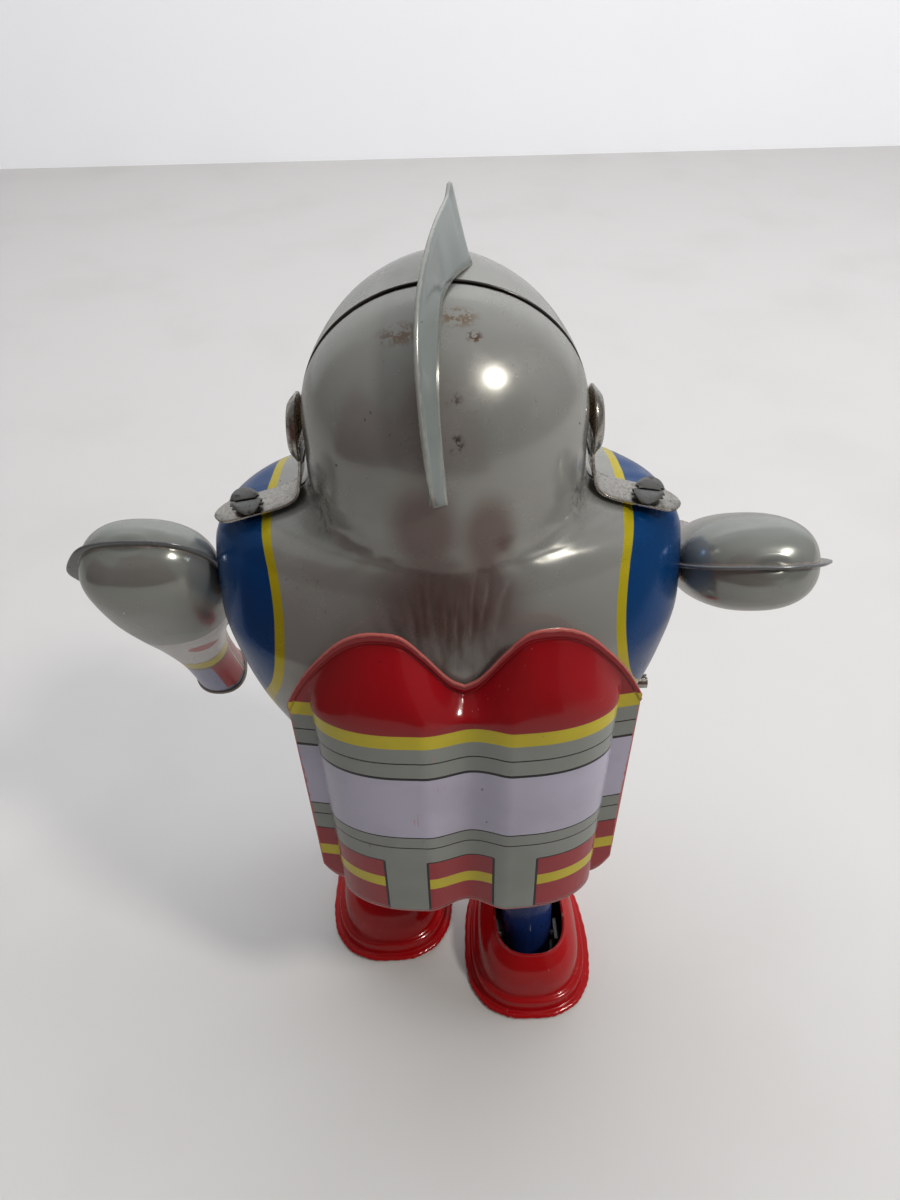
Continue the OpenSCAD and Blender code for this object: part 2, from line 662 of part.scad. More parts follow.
module roller(side) {
    color(black) shoe_frame(side) difference() {
        bar(-roller_w / 2, roller_w / 2, [roller_y, roller_r], roller_r);
        bar(-9, 9, [roller_y, roller_r], roller_axle_r + running);
    }
}

module roller_axle(side) {
    color(steel) shoe_frame(side) bar(-5.4, 5.4, [roller_y, roller_r], roller_axle_r);
}

// ---------- Arms ----------

// Stations of an arm that hangs straight down: height from the axle, half width, half depth
ARM = [
    [-68, 7, 7], [-60, 6.8, 6.8], [-50, 7, 6.8], [-40, 8, 7.4], [-30, 10.4, 8.4], [-20, 13.8, 9.8],
    [-10, 16, 10.8], [0, 16.6, 11], [7, 16.2, 10.4], [12, 13.6, 8.6], [15.2, 9.6, 5.6],
    [16.6, 4.8, 2.8], [17, 0, 0]];
arm_around = 14;
arm_gap = 0.1;
arm_end = 58;
function arm_angle(side) = -arm_lead + side * arm_ratio * stride;

// Draws the children round a shoulder axle, then turns them to where they stand at rest
module arm_frame(angle) { translate([0, 0, shoulder_z]) rotate([angle, 0, 0]) children(); }

module arm_half(side, half) {
    grid = [for (st = ARM) [for (k = [0 : arm_around])
        let (p = half_point(st[1], st[2], 180 * k / arm_around, 2.3))
        half * [p[0], p[1] + arm_gap, 0] + [side * arm_x, 0, st[0]]]];
    color(grey) arm_frame(arm_angle(side)) difference() {
        sheet(grid, flat_edges = true);
        on_side(side) bar(50, 56, [0, 0], arbor_r + 0.1);
    }
}

module arm_axle(side) {
    color(steel) arm_frame(arm_angle(side)) on_side(side) {
        bar(21.2, arm_end, [0, 0], arbor_r);
        bar(56.4, 57.4, [0, 0], 5);
    }
}

arm_lever_x = [22, 23];
arm_lever = shoulder_z - hip_z - lever_pin;
module arm_lever(side) {
    color(steel) arm_frame(side * arm_ratio * stride) on_side(side) difference() {
        union() {
            bar(arm_lever_x[0], arm_lever_x[1], [0, 0], 3.6);
            translate([arm_lever_x[0], -3, -arm_lever - 4.2]) cube([1, 6, arm_lever + 4.2]);
        }
        bar(20, 25, [0, 0], arbor_r);
        translate([arm_lever_x[0] - 1, -lever_pin_r - 0.25, -arm_lever - 3])
            cube([3, 2 * lever_pin_r + 0.5, 6]);
    }
}

module shoulder_bush(side) {
    color(brass) on_side(side) difference() {
        union() {
            bar(44, 51.7, [0, shoulder_z], bush_r);
            bar(43, 44, [0, shoulder_z], bush_r + 1.6);
        }
        bar(40, 55, [0, shoulder_z], arbor_r + running);
    }
}

// Puts the robot's box centre over the origin
module placed() { translate([0, body_y, 0]) children(); }

placed() rear_casing();
placed() front_casing();
placed() base_plate();
placed() casing_tabs();
placed() crest();
placed() visor();
placed() mouth_grille();
placed() chest_plate();
placed() ear_dish(LEFT);  // left_ear_dish
placed() ear_dish(RIGHT);  // right_ear_dish
placed() ear_strap(LEFT);  // left_ear_strap
placed() ear_strap(RIGHT);  // right_ear_strap
placed() split_tab(LEFT);  // left_split_tab
placed() split_tab(RIGHT);  // right_split_tab
placed() rocket_pack();
placed() pack_tabs();
placed() shoulder_bush(LEFT);  // left_shoulder_bush
placed() shoulder_bush(RIGHT);  // right_shoulder_bush
placed() motor_plate(LEFT);  // motor_plate_left
placed() motor_plate(RIGHT);  // motor_plate_right
placed() motor_pillars();
placed() motor_bracket();
placed() hip_rod();
placed() mainspring();
placed() winding_arbor();
placed() ratchet_wheel();
placed() great_wheel();
placed() click();
placed() click_spring();
placed() second_pinion();
placed() second_wheel();
placed() crank_pinion();
placed() crank_wheel();
placed() crank(LEFT);  // left_crank
placed() crank(RIGHT);  // right_crank
placed() governor_pinion();
placed() flywheel();
placed() leg_tube(LEFT);  // left_leg_tube
placed() leg_tube(RIGHT);  // right_leg_tube
placed() leg_lever(LEFT);  // left_leg_lever
placed() leg_lever(RIGHT);  // right_leg_lever
placed() shoe(LEFT);  // left_shoe
placed() shoe(RIGHT);  // right_shoe
placed() sole_plate(LEFT);  // left_sole_plate
placed() sole_plate(RIGHT);  // right_sole_plate
placed() ankle_pin(LEFT);  // left_ankle_pin
placed() ankle_pin(RIGHT);  // right_ankle_pin
placed() roller(LEFT);  // left_roller
placed() roller(RIGHT);  // right_roller
placed() roller_axle(LEFT);  // left_roller_axle
placed() roller_axle(RIGHT);  // right_roller_axle
placed() arm_half(LEFT, 1);  // left_arm_rear
placed() arm_half(RIGHT, 1);  // right_arm_rear
placed() arm_half(LEFT, -1);  // left_arm_front
placed() arm_half(RIGHT, -1);  // right_arm_front
placed() arm_axle(LEFT);  // left_arm_axle
placed() arm_axle(RIGHT);  // right_arm_axle
placed() arm_lever(LEFT);  // left_arm_lever
placed() arm_lever(RIGHT);  // right_arm_lever
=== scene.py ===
"""A clockwork tin robot seen as it stands on a table: every finished surface, built round the CAD frame."""

import logging
import math
from collections.abc import Callable, Sequence
from dataclasses import dataclass, field
from enum import Enum

import bpy
from mathutils import Matrix, Vector


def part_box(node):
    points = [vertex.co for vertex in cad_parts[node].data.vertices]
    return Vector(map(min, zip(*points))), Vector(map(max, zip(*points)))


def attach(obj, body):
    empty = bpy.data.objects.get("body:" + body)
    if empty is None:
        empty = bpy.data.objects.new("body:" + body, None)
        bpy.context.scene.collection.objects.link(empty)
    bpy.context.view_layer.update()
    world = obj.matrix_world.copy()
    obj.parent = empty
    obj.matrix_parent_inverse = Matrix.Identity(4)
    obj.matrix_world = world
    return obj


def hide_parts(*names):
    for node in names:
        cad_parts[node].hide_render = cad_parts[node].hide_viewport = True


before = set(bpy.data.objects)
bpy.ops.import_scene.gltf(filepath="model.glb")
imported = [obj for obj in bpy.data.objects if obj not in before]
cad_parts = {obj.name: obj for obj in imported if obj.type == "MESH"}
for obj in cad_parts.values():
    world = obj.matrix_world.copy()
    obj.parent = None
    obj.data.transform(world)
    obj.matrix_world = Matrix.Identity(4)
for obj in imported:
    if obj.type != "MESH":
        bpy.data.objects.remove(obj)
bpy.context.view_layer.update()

MM = 0.001
YELLOW = "c4b21c"
log = logging.getLogger("tin_robot")

Tree = bpy.types.NodeTree
Socket = bpy.types.NodeSocket
Material = bpy.types.Material
Piece = bpy.types.Object
Row = list[Vector]
Grid = list[Row]
Paint = Callable[[Tree, Socket], Socket]
Triple = tuple[float, float, float]
Table = tuple[tuple[float, ...], ...]


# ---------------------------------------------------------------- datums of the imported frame

@dataclass(frozen=True)
class Datum:
    """Places that every sub-assembly is built from, read off the frame, in millimetres."""

    body_y: float
    hip_z: float
    shoulder_z: float

    @classmethod
    def from_frame(cls) -> "Datum":
        """Read the centre plane, the hip rod and the shoulder axles off the CAD boxes."""
        hip_low, hip_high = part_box("hip_rod")
        bush_low, bush_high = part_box("left_shoulder_bush")
        return cls((hip_low[1] + hip_high[1]) / 2 / MM, (hip_low[2] + hip_high[2]) / 2 / MM,
                   (bush_low[2] + bush_high[2]) / 2 / MM)


DATUM = Datum.from_frame()


class Side(Enum):
    """The robot's own sides, as the sign of X."""

    LEFT = 1
    RIGHT = -1

    @property
    def word(self) -> str:
        """Name of the side as the nodes and bodies spell it."""
        return self.name.lower()


# ---------------------------------------------------------------- node trees

def add(tree: Tree, kind: str, settings: dict | None = None,
        links: dict | None = None) -> bpy.types.Node:
    """Add a node with its settings and inputs.

    Args:
        tree: the tree that takes the node.
        kind: the node's type, without the words ShaderNode.
        settings: properties of the node itself.
        links: what goes in each input, a socket to link or a value to set.

    Returns:
        The new node.
    """
    node = tree.nodes.new("ShaderNode" + kind)
    for name, value in (settings or {}).items():
        setattr(node, name, value)
    for key, source in (links or {}).items():
        if isinstance(source, Socket):
            tree.links.new(source, node.inputs[key])
        else:
            node.inputs[key].default_value = source
    return node


def colour(code: str, alpha: float = 1.0) -> tuple[float, float, float, float]:
    """Turn an sRGB hex value such as "8f928c" into linear colour."""
    parts = [int(code[i:i + 2], 16) / 255 for i in (0, 2, 4)]
    linear = [c / 12.92 if c <= 0.04045 else ((c + 0.055) / 1.055) ** 2.4 for c in parts]
    return (*linear, alpha)


def blend(tree: Tree, mask: object, under: object, over: object) -> Socket:
    """Lay one colour over another by a mask.

    Args:
        tree: the tree that takes the node.
        mask: socket or number, 0 for under and 1 for over.
        under: socket or linear colour.
        over: socket or linear colour.

    Returns:
        The mixed colour's socket.
    """
    node = add(tree, "Mix", {"data_type": "RGBA"}, {0: mask, 6: under, 7: over})
    return node.outputs[2]


def calc(tree: Tree, step: str, *values: object) -> Socket:
    """Work out one arithmetic step, named as the Math node names it, on sockets or numbers."""
    return add(tree, "Math", {"operation": step}, dict(enumerate(values))).outputs[0]


def ramp(tree: Tree, value: object, low: float, high: float,
         out_low: float = 0.0, out_high: float = 1.0) -> Socket:
    """Map a value from one range to another with a smooth step, held at both ends.

    Args:
        tree: the tree that takes the node.
        value: socket that is mapped.
        low: value that gives out_low.
        high: value that gives out_high.
        out_low: result at low.
        out_high: result at high.

    Returns:
        The mapped value's socket.
    """
    node = add(tree, "MapRange", {"interpolation_type": "SMOOTHSTEP"},
               {0: value, 1: low, 2: high, 3: out_low, 4: out_high})
    return node.outputs[0]


def noise(tree: Tree, place: Socket, size_mm: float,
          detail: float = 3.0, rough: float = 0.5) -> Socket:
    """Give cloud noise whose grains are size_mm across."""
    return add(tree, "TexNoise", None, {"Vector": place, "Scale": 1 / (size_mm * MM), "Detail": detail,
                                        "Roughness": rough}).outputs["Fac"]


def bands(tree: Tree, value: Socket, stops: Sequence[tuple[float, str]],
          low: float, high: float) -> Socket:
    """Paint printed bands with crisp edges.

    Args:
        tree: the tree that takes the nodes.
        value: the place along the bands, in millimetres.
        stops: where each band starts, in rising order, and its sRGB hex value.
        low: start of the printed length.
        high: end of the printed length.

    Returns:
        The colour's socket.
    """
    share = add(tree, "MapRange", None, {0: value, 1: low, 2: high}).outputs[0]
    node = add(tree, "ValToRGB", None, {0: share})
    table = node.color_ramp
    table.interpolation = "CONSTANT"
    for index, (start, code) in enumerate(stops):
        place = min(max((start - low) / (high - low), 0.0), 1.0)
        stop = table.elements[index] if index < 2 else table.elements.new(place)
        stop.position = place
        stop.color = colour(code)
    return node.outputs[0]


def product(tree: Tree, *values: object) -> Socket:
    """Multiply sockets or numbers together."""
    total = values[0]
    for value in values[1:]:
        total = calc(tree, "MULTIPLY", total, value)
    return total


def reach_from(tree: Tree, place: Socket, centre: Triple, size: Triple) -> Socket:
    """Measure how far a place is from a centre, as a share of half sizes in millimetres: 1 is the edge."""
    for step, values in (("SUBTRACT", centre), ("DIVIDE", size)):
        place = add(tree, "VectorMath", {"operation": step}, {0: place, 1: [v * MM for v in values]}).outputs[0]
    return add(tree, "VectorMath", {"operation": "LENGTH"}, {0: place}).outputs["Value"]


def local_place(tree: Tree) -> tuple[Socket, list[Socket]]:
    """Give a piece's own coordinates: the vector in metres, and X, Y and Z in millimetres."""
    place = add(tree, "Attribute", {"attribute_name": "local"}).outputs["Vector"]
    scaled = add(tree, "VectorMath", {"operation": "SCALE"}, {0: place, "Scale": 1 / MM}).outputs[0]
    parts = add(tree, "SeparateXYZ", None, {0: scaled})
    return place, [parts.outputs[i] for i in range(3)]


# ---------------------------------------------------------------- finishes

@dataclass(frozen=True)
class Finish:
    """A surface as it was made: what every finish needs to start its shader and to end it."""

    name: str

    def begin(self) -> tuple[Material, Tree, bpy.types.Node]:
        """Make an empty node material and return it with its tree and its shader."""
        material = bpy.data.materials.new(self.name)
        material.use_nodes = True
        tree = material.node_tree
        return material, tree, tree.nodes["Principled BSDF"]

    def join(self, tree: Tree, base: Socket, rough: Socket, relief: Socket, strength: float, depth_mm: float) -> None:
        """Join the surface to its shader.

        Args:
            tree: the material's tree.
            base: the colour.
            rough: the roughness.
            relief: the height of the fine relief.
            strength: how much of the relief shows.
            depth_mm: the relief's depth.
        """
        shader = tree.nodes["Principled BSDF"]
        bump = add(tree, "Bump", None, {"Strength": strength, "Distance": depth_mm * MM, "Height": relief})
        for socket, name in ((base, "Base Color"), (rough, "Roughness"), (bump.outputs[0], "Normal")):
            tree.links.new(socket, shader.inputs[name])


@dataclass(frozen=True)
class LithographedTin(Finish):
    """Tinplate printed flat, varnished and then pressed.

    The varnish gives sharp reflections over a faint orange peel, and handling has left fine scratches
    and black specks. Folds and rims take a rim colour: mostly edge wear, scuffed down to a pale edge;
    dark along the casings' seam, where it is painted shade in the seam gap; and pale along the crest's
    rims and ridge, where it is partly a painted highlight on the rolled edges and partly wear. A carried
    finish goes on a CAD node, which holds no rim distances.
    """

    ground: str
    # Rim colour: edge wear; on the casings it is painted shade in the seam gap, on the crest partly a painted
    # highlight.
    worn: str = "b9aea4"
    gloss: float = 0.2
    peel_mm: float = 1.6
    speck_mm: float = 2.6
    speck_share: float = 0.27
    scratch_mm: float = 5.0
    dirt: str = "3c322a"
    paint: Paint | None = None
    carried: bool = False
    rub_mm: float = 0.34
    sheen: float = 0.0

    def material(self) -> Material:
        """Build the varnished, worn print."""
        material, tree, shader = self.begin()
        if self.carried:
            place, rim = add(tree, "TexCoord").outputs["Object"], 1.0
        else:
            place, _ = local_place(tree)
            rim = add(tree, "Attribute", {"attribute_name": "rim"}).outputs["Fac"]
        base = self.paint(tree, place) if self.paint else colour(self.ground)
        patches = noise(tree, place, 22.0, 4.0)
        toned = blend(tree, ramp(tree, patches, 0.35, 0.75, 0.0, 0.16), base, colour(self.dirt))
        grains = noise(tree, place, self.speck_mm, 2.0, 0.7)
        cluster = ramp(tree, noise(tree, place, 17.0, 2.0), 0.46, 0.66)
        specks = product(tree, ramp(tree, grains, self.speck_share, self.speck_share - 0.03), cluster)
        specked = blend(tree, product(tree, specks, 0.85), toned, colour("1b1815"))
        long_place = add(tree, "Mapping", None, {0: place, "Rotation": (0.4, 0.3, 0.5),
                                                 "Scale": (1.0, 1.0, 0.07)}).outputs[0]
        hairs = noise(tree, long_place, self.scratch_mm / 10, 1.0, 0.3)
        where = ramp(tree, noise(tree, place, 13.0, 2.0), 0.52, 0.68)
        scratches = product(tree, ramp(tree, hairs, 0.735, 0.78), where)
        scratched = blend(tree, product(tree, scratches, 0.6), specked, colour(self.worn))
        # The rim colour along rims and ridges: edge wear, painted shade along the casings' seam, and partly a painted
        # highlight on the crest.
        edge = calc(tree, "ADD", rim, product(tree, noise(tree, place, 1.8, 4.0), -0.9))
        rim_wear_and_shading_mask = ramp(tree, edge, self.rub_mm, self.rub_mm - 0.32)
        worn = blend(tree, product(tree, rim_wear_and_shading_mask, 0.9), scratched, colour(self.worn))
        haze = noise(tree, place, 9.0, 5.0, 0.65)
        peel = noise(tree, place, self.peel_mm, 1.0)
        relief = calc(tree, "SUBTRACT", product(tree, peel, 0.5), calc(tree, "ADD", scratches, specks))
        self.join(tree, worn, ramp(tree, haze, 0.3, 0.8, self.gloss, self.gloss + 0.12), relief, 0.12, 0.08)
        shader.inputs["Metallic"].default_value = self.sheen
        shader.inputs["Coat Weight"].default_value = 0.35
        shader.inputs["Coat Roughness"].default_value = 0.09
        shader.inputs["Specular IOR Level"].default_value = 0.3
        return material


@dataclass(frozen=True)
class PlatedMetal(Finish):
    """Nickel plate on pressed tin: bright and pale, with dark pits, scuffed patches and a little rust."""

    ground: str = "c9c6bf"
    stain: str = "5a4a3a"
    gloss: float = 0.2
    grain_mm: float = 0.9
    stained: float = 0.56

    def material(self) -> Material:
        """Build the scuffed plating."""
        material, tree, shader = self.begin()
        place = add(tree, "TexCoord").outputs["Object"]
        grain = noise(tree, place, self.grain_mm, 5.0, 0.6)
        patches = noise(tree, place, 4.2, 5.0, 0.7)
        pits = ramp(tree, noise(tree, place, 0.8, 2.0, 0.8), 0.36, 0.3)
        stains = ramp(tree, patches, self.stained, self.stained + 0.14)
        toned = blend(tree, ramp(tree, grain, 0.3, 0.8, 0.0, 0.3), colour(self.ground), colour("8d8a84"))
        dirty = blend(tree, product(tree, stains, 0.75), toned, colour(self.stain))
        pitted = blend(tree, product(tree, pits, 0.7), dirty, colour("2a2420"))
        rough = calc(tree, "ADD", ramp(tree, grain, 0.3, 0.75, self.gloss, self.gloss + 0.18),
                     product(tree, stains, 0.22))
        shader.inputs["Metallic"].default_value = 1.0
        self.join(tree, pitted, rough, calc(tree, "SUBTRACT", product(tree, grain, 0.4), pits), 0.25, 0.06)
        return material


@dataclass(frozen=True)
class CutMetal(Finish):
    """Blanked or turned clockwork metal: fine tool lines, a satin face and a trace of old oil."""

    ground: str = "9a9ca0"
    oil: str = "4a4034"
    line_mm: float = 0.35
    gloss: float = 0.3

    def material(self) -> Material:
        """Build the machined metal."""
        material, tree, shader = self.begin()
        place = add(tree, "TexCoord").outputs["Object"]
        drawn = add(tree, "Mapping", None, {0: place, "Scale": (0.08, 1.0, 1.0)}).outputs[0]
        lines = noise(tree, drawn, self.line_mm, 2.0)
        film = noise(tree, place, 6.0, 4.0)
        toned = blend(tree, ramp(tree, lines, 0.3, 0.7, 0.0, 0.35), colour(self.ground), colour("6c6a68"))
        oiled = blend(tree, ramp(tree, film, 0.45, 0.75, 0.0, 0.5), toned, colour(self.oil))
        shader.inputs["Metallic"].default_value = 1.0
        self.join(tree, oiled, ramp(tree, film, 0.3, 0.8, self.gloss, self.gloss + 0.2), lines, 0.2, 0.03)
        return material


@dataclass(frozen=True)
class MouldedRubber(Finish):
    """Moulded rubber of the walking rollers: matt black with a grey bloom of dust."""

    ground: str = "1a1a1b"
    bloom: str = "4c4a47"

    def material(self) -> Material:
        """Build the dusty rubber."""
        material, tree, _ = self.begin()
        dust = noise(tree, add(tree, "TexCoord").outputs["Object"], 1.4, 5.0)
        base = blend(tree, ramp(tree, dust, 0.4, 0.75, 0.0, 0.6), colour(self.ground), colour(self.bloom))
        self.join(tree, base, ramp(tree, dust, 0.3, 0.8, 0.55, 0.8), dust, 0.3, 0.05)
        return material


# ---------------------------------------------------------------- sheet metal

def spline(stations: Sequence[Sequence[float]], count: int) -> list[list[float]]:
    """Pass a smooth curve through stations.

    Args:
        stations: rows of numbers, each a place on the curve.
        count: how many rows to give back, the ends included.

    Returns:
        The rows along the curve.
    """
    rows = []
    last = len(stations) - 1
    for step in range(count):
        at = step / (count - 1) * last
        i = min(int(at), last - 1)
        t = at - i
        a, b, c, d = (stations[min(max(i + k, 0), last)] for k in (-1, 0, 1, 2))
        rows.append([0.5 * (2 * q + (r - p) * t + (2 * p - 5 * q + 4 * r - s) * t * t
                            + (3 * q - p - 3 * r + s) * t ** 3) for p, q, r, s in zip(a, b, c, d)])
    return rows


def lookup(at: float, rows: Sequence[tuple[float, float]]) -> float:
    """Read a value off a table of rising places, straight between them and held at both ends."""
    at = min(max(at, rows[0][0]), rows[-1][0])
    for (low, first), (high, second) in zip(rows, rows[1:]):
        if at <= high:
            return first + (second - first) * (at - low) / (high - low)
    return rows[-1][1]


def finer(fine: int) -> int:
    """Give the count of steps for the full build."""
    return fine


def shares(count: int) -> list[float]:
    """List the even shares from 0 to 1, both included."""
    return [k / count for k in range(count + 1)]


def flipped(grid: Grid, flip: bool) -> Grid:
    """Run each row backwards if asked, so that the sheet's outer face stays outside."""
    return [row[::-1] for row in grid] if flip else grid


def smooth(t: float) -> float:
    """Ease from 0 to 1, held at both ends."""
    t = min(max(t, 0.0), 1.0)
    return t * t * (3 - 2 * t)


def bell(x: float, middle: float, width: float) -> float:
    """Give a bell curve that is 1 at its middle."""
    return math.exp(-((x - middle) / width) ** 2)


def oval(a: float, b: float, turn: float, fullness: float) -> tuple[float, float]:
    """Give a point on a rounded outline that is fuller than an ellipse.

    Args:
        a: half width along X.
        b: half depth along Y.
        turn: angle from +X towards +Y, in degrees.
        fullness: 2 for an ellipse, and more for a squarer outline.

    Returns:
        The point's X and Y.
    """
    c, s = math.cos(math.radians(turn)), math.sin(math.radians(turn))
    power = 2 / fullness
    return (math.copysign(abs(c) ** power, c) * a, math.copysign(abs(s) ** power, s) * b)


def rim_distance(grid: Grid, closed: bool) -> list[list[float]]:
    """Measure how far each point of a grid is from the sheet's nearest open edge, in millimetres."""
    def from_ends(line: Sequence[Vector]) -> list[float]:
        run = [0.0]
        for before, after in zip(line, line[1:]):
            run.append(run[-1] + (after - before).length)
        return [min(reach, run[-1] - reach) for reach in run]

    lengthwise = [list(row) for row in zip(*(from_ends(column) for column in zip(*grid)))]
    if closed:
        return lengthwise
    return [[min(pair) for pair in zip(row, from_ends(line))] for row, line in zip(lengthwise, grid)]


@dataclass
class TinSheet:
    """A pressed sheet: a grid of points in millimetres, thickened inwards.

    A ridge names a column that takes the rim colour like a rim; along the crest's ridge that pale colour is partly a
    painted highlight.
    """

    name: str
    grid: Grid
    thickness: float = 0.45
    closed: bool = False
    capped: tuple[bool, bool] = (False, False)
    bevel: float = 0.0
    ridge: int | None = None
    frame_to: Callable[[Vector], Vector] | None = None

    def build(self) -> Piece:
        """Make the mesh with its own coordinates and its distance from the rim."""
        rows, cols = len(self.grid), len(self.grid[0])
        put = self.frame_to or (lambda p: p)
        rims = rim_distance(self.grid, self.closed)
        if self.ridge is not None:
            rims = [[min(rim, (point - row[self.ridge]).length) for rim, point in zip(line, row)]
                    for line, row in zip(rims, self.grid)]
        points, locals_, edges, index = [], [], [], []
        for i, row in enumerate(self.grid):
            single = self.capped[0] and i == 0 or self.capped[1] and i == rows - 1
            line = []
            for j, point in enumerate(row):
                if single and j:
                    line.append(line[0])
                    continue
                line.append(len(points))
                points.append((put(point) + Vector((0, DATUM.body_y, 0))) * MM)
                locals_.append(point * MM)
                capped_end = self.capped[0] and i < rows / 2 or self.capped[1] and i >= rows / 2
                edges.append(99.0 if capped_end and self.closed else rims[i][j])
            index.append(line)
        faces = []
        for i in range(rows - 1):
            for j in range(cols if self.closed else cols - 1):
                k = (j + 1) % cols
                face = [index[i][j], index[i][k], index[i + 1][k], index[i + 1][j]]
                face = list(dict.fromkeys(face))
                if len(face) > 2:
                    faces.append(face)
        name = self.name.replace(" ", "_") + "_skin"
        mesh = bpy.data.meshes.new(name)
        mesh.from_pydata([tuple(p) for p in points], [], faces)
        own = mesh.attributes.new("local", "FLOAT_VECTOR", "POINT")
        own.data.foreach_set("vector", [c for p in locals_ for c in p])
        rim = mesh.attributes.new("rim", "FLOAT", "POINT")
        rim.data.foreach_set("value", edges)
        mesh.polygons.foreach_set("use_smooth", [True] * len(mesh.polygons))
        piece = bpy.data.objects.new(name, mesh)
        bpy.context.scene.collection.objects.link(piece)
        if self.thickness:
            wall = piece.modifiers.new("wall", "SOLIDIFY")
            wall.thickness = self.thickness * MM
            wall.offset = -1.0
            wall.use_even_offset = False
        if self.bevel:
            edge = piece.modifiers.new("edge", "BEVEL")
            edge.width = self.bevel * MM
            edge.segments = 2
            edge.angle_limit = math.radians(50)
        return piece


def dress(piece: Piece, body: str, material: Material,
          nodes: Sequence[str] = ()) -> Piece:
    """Give a piece its material and its body, and hide the CAD nodes that it stands for.

    Args:
        piece: the finished object.
        body: the body that it moves with.
        material: its finish.
        nodes: CAD nodes that it replaces.

    Returns:
        The same object.
    """
    piece.data.materials.clear()
    piece.data.materials.append(material)
    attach(piece, body)
    if nodes:
        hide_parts(*nodes)
    log.info("%s rides on %s", piece.name, body)
    return piece


def ring_turns(count: int) -> list[float]:
    """List the turns of a closed ring's points, in radians."""
    return [2 * math.pi * k / count for k in range(count)]


def turned(name: str, profile: Sequence[tuple[float, float]], centre: Vector) -> TinSheet:
    """Spin a profile about X into a closed solid.

    Args:
        name: the piece's name.
        profile: pairs of distance along the axis and radius, in millimetres.
        centre: where the axis starts.

    Returns:
        The sheet, not yet built.
    """
    grid = [[centre + Vector((along, math.cos(turn) * radius, math.sin(turn) * radius)) for turn in ring_turns(64)]
            for along, radius in profile]
    return TinSheet(name, grid, 0.0, closed=True, capped=(profile[0][1] < 1e-6, profile[-1][1] < 1e-6))


# ---------------------------------------------------------------- casings

@dataclass(frozen=True)
class CasingSizes:
    """Sizes of the two body casings, in millimetres."""

    stations: Table = (
        (66, 33.2, 26.5, 30.5), (75, 34, 27.5, 32), (90, 35.5, 29, 33.5), (105, 37.5, 30.5, 34.5),
        (118, 41, 32.2, 35.5), (131, 47, 33.6, 36.5), (142, 50, 34, 36.5), (150, 51.3, 33.5, 36),
        (160, 51.3, 31, 34.5), (166, 50, 29, 32.5), (170, 46, 28, 31), (172, 40, 27.5, 30),
        (173.5, 34, 27.3, 29.3), (176, 30, 27, 28.6), (180, 28.8, 27, 28.2), (186, 28.5, 27, 28),
        (192, 28.5, 27, 28))
    fullness: Table = ((150, 2.3), (160, 1.9), (166, 1.65), (172, 1.6), (176, 1.8), (182, 2))
    front_fullness: Table = ((150, 2.3), (166, 2.5), (171, 2.3), (176, 2.0), (182, 2))
    dome_height: float = 25.8
    brow: float = 3.5
    brow_lift: float = 1.7
    seam_gap: float = 0.55
    neck_top: float = 186.0
    creased: float = 6.0
    pucker: Triple = (172.5, 3.2, 0.16)
    stripe: tuple[float, float] = (34.0, 36.2)
    blemishes: tuple[tuple[Triple, Triple, str, float], ...] = (
        ((7.8, 13, 214), (7.5, 4, 2.6), "75553a", 0.65), ((-2.8, 10.8, 215.9), (5, 3.6, 2.4), "785a38", 0.7),
        ((-5.5, 14.4, 213.8), (2, 2, 1.6), "5c3a22", 0.9), ((-1.9, 27, 199.3), (1.8, 6, 2.6), "241c16", 0.85),
        # The two grey patches at height 179 darken the neck beside the strap roots.
        ((-1.6, 23.7, 206.1), (2, 5, 2), "4a3524", 0.7), ((24.6, 14, 179), (4, 8, 8), "5a5852", 0.6),
        ((-27, 13, 179), (4, 8, 7), "5a5852", 0.6))
    # Painted reflection of the red pack on the neck and back above it.
    painted_pack_reflection: tuple[tuple[Triple, Triple], ...] = (
        ((4.4, 28, 182), (9, 20, 14)), ((-7.6, 28, 180), (7, 20, 12)), ((0, 30, 166), (20, 20, 12)))
    creases: Table = (
        (-9.5, 0.8, 0.3, 161), (-6.4, 0.45, 0.3, 163), (-4.3, 0.5, 0.36, 162), (-1.6, 0.4, 0.26, 161),
        (0.9, 0.5, 0.32, 162), (3.2, 0.45, 0.34, 163), (5.1, 0.4, 0.3, 162), (7.0, 0.55, 0.42, 160),
        (10.4, 0.9, 0.35, 158), (13.5, 1.2, 0.25, 156))


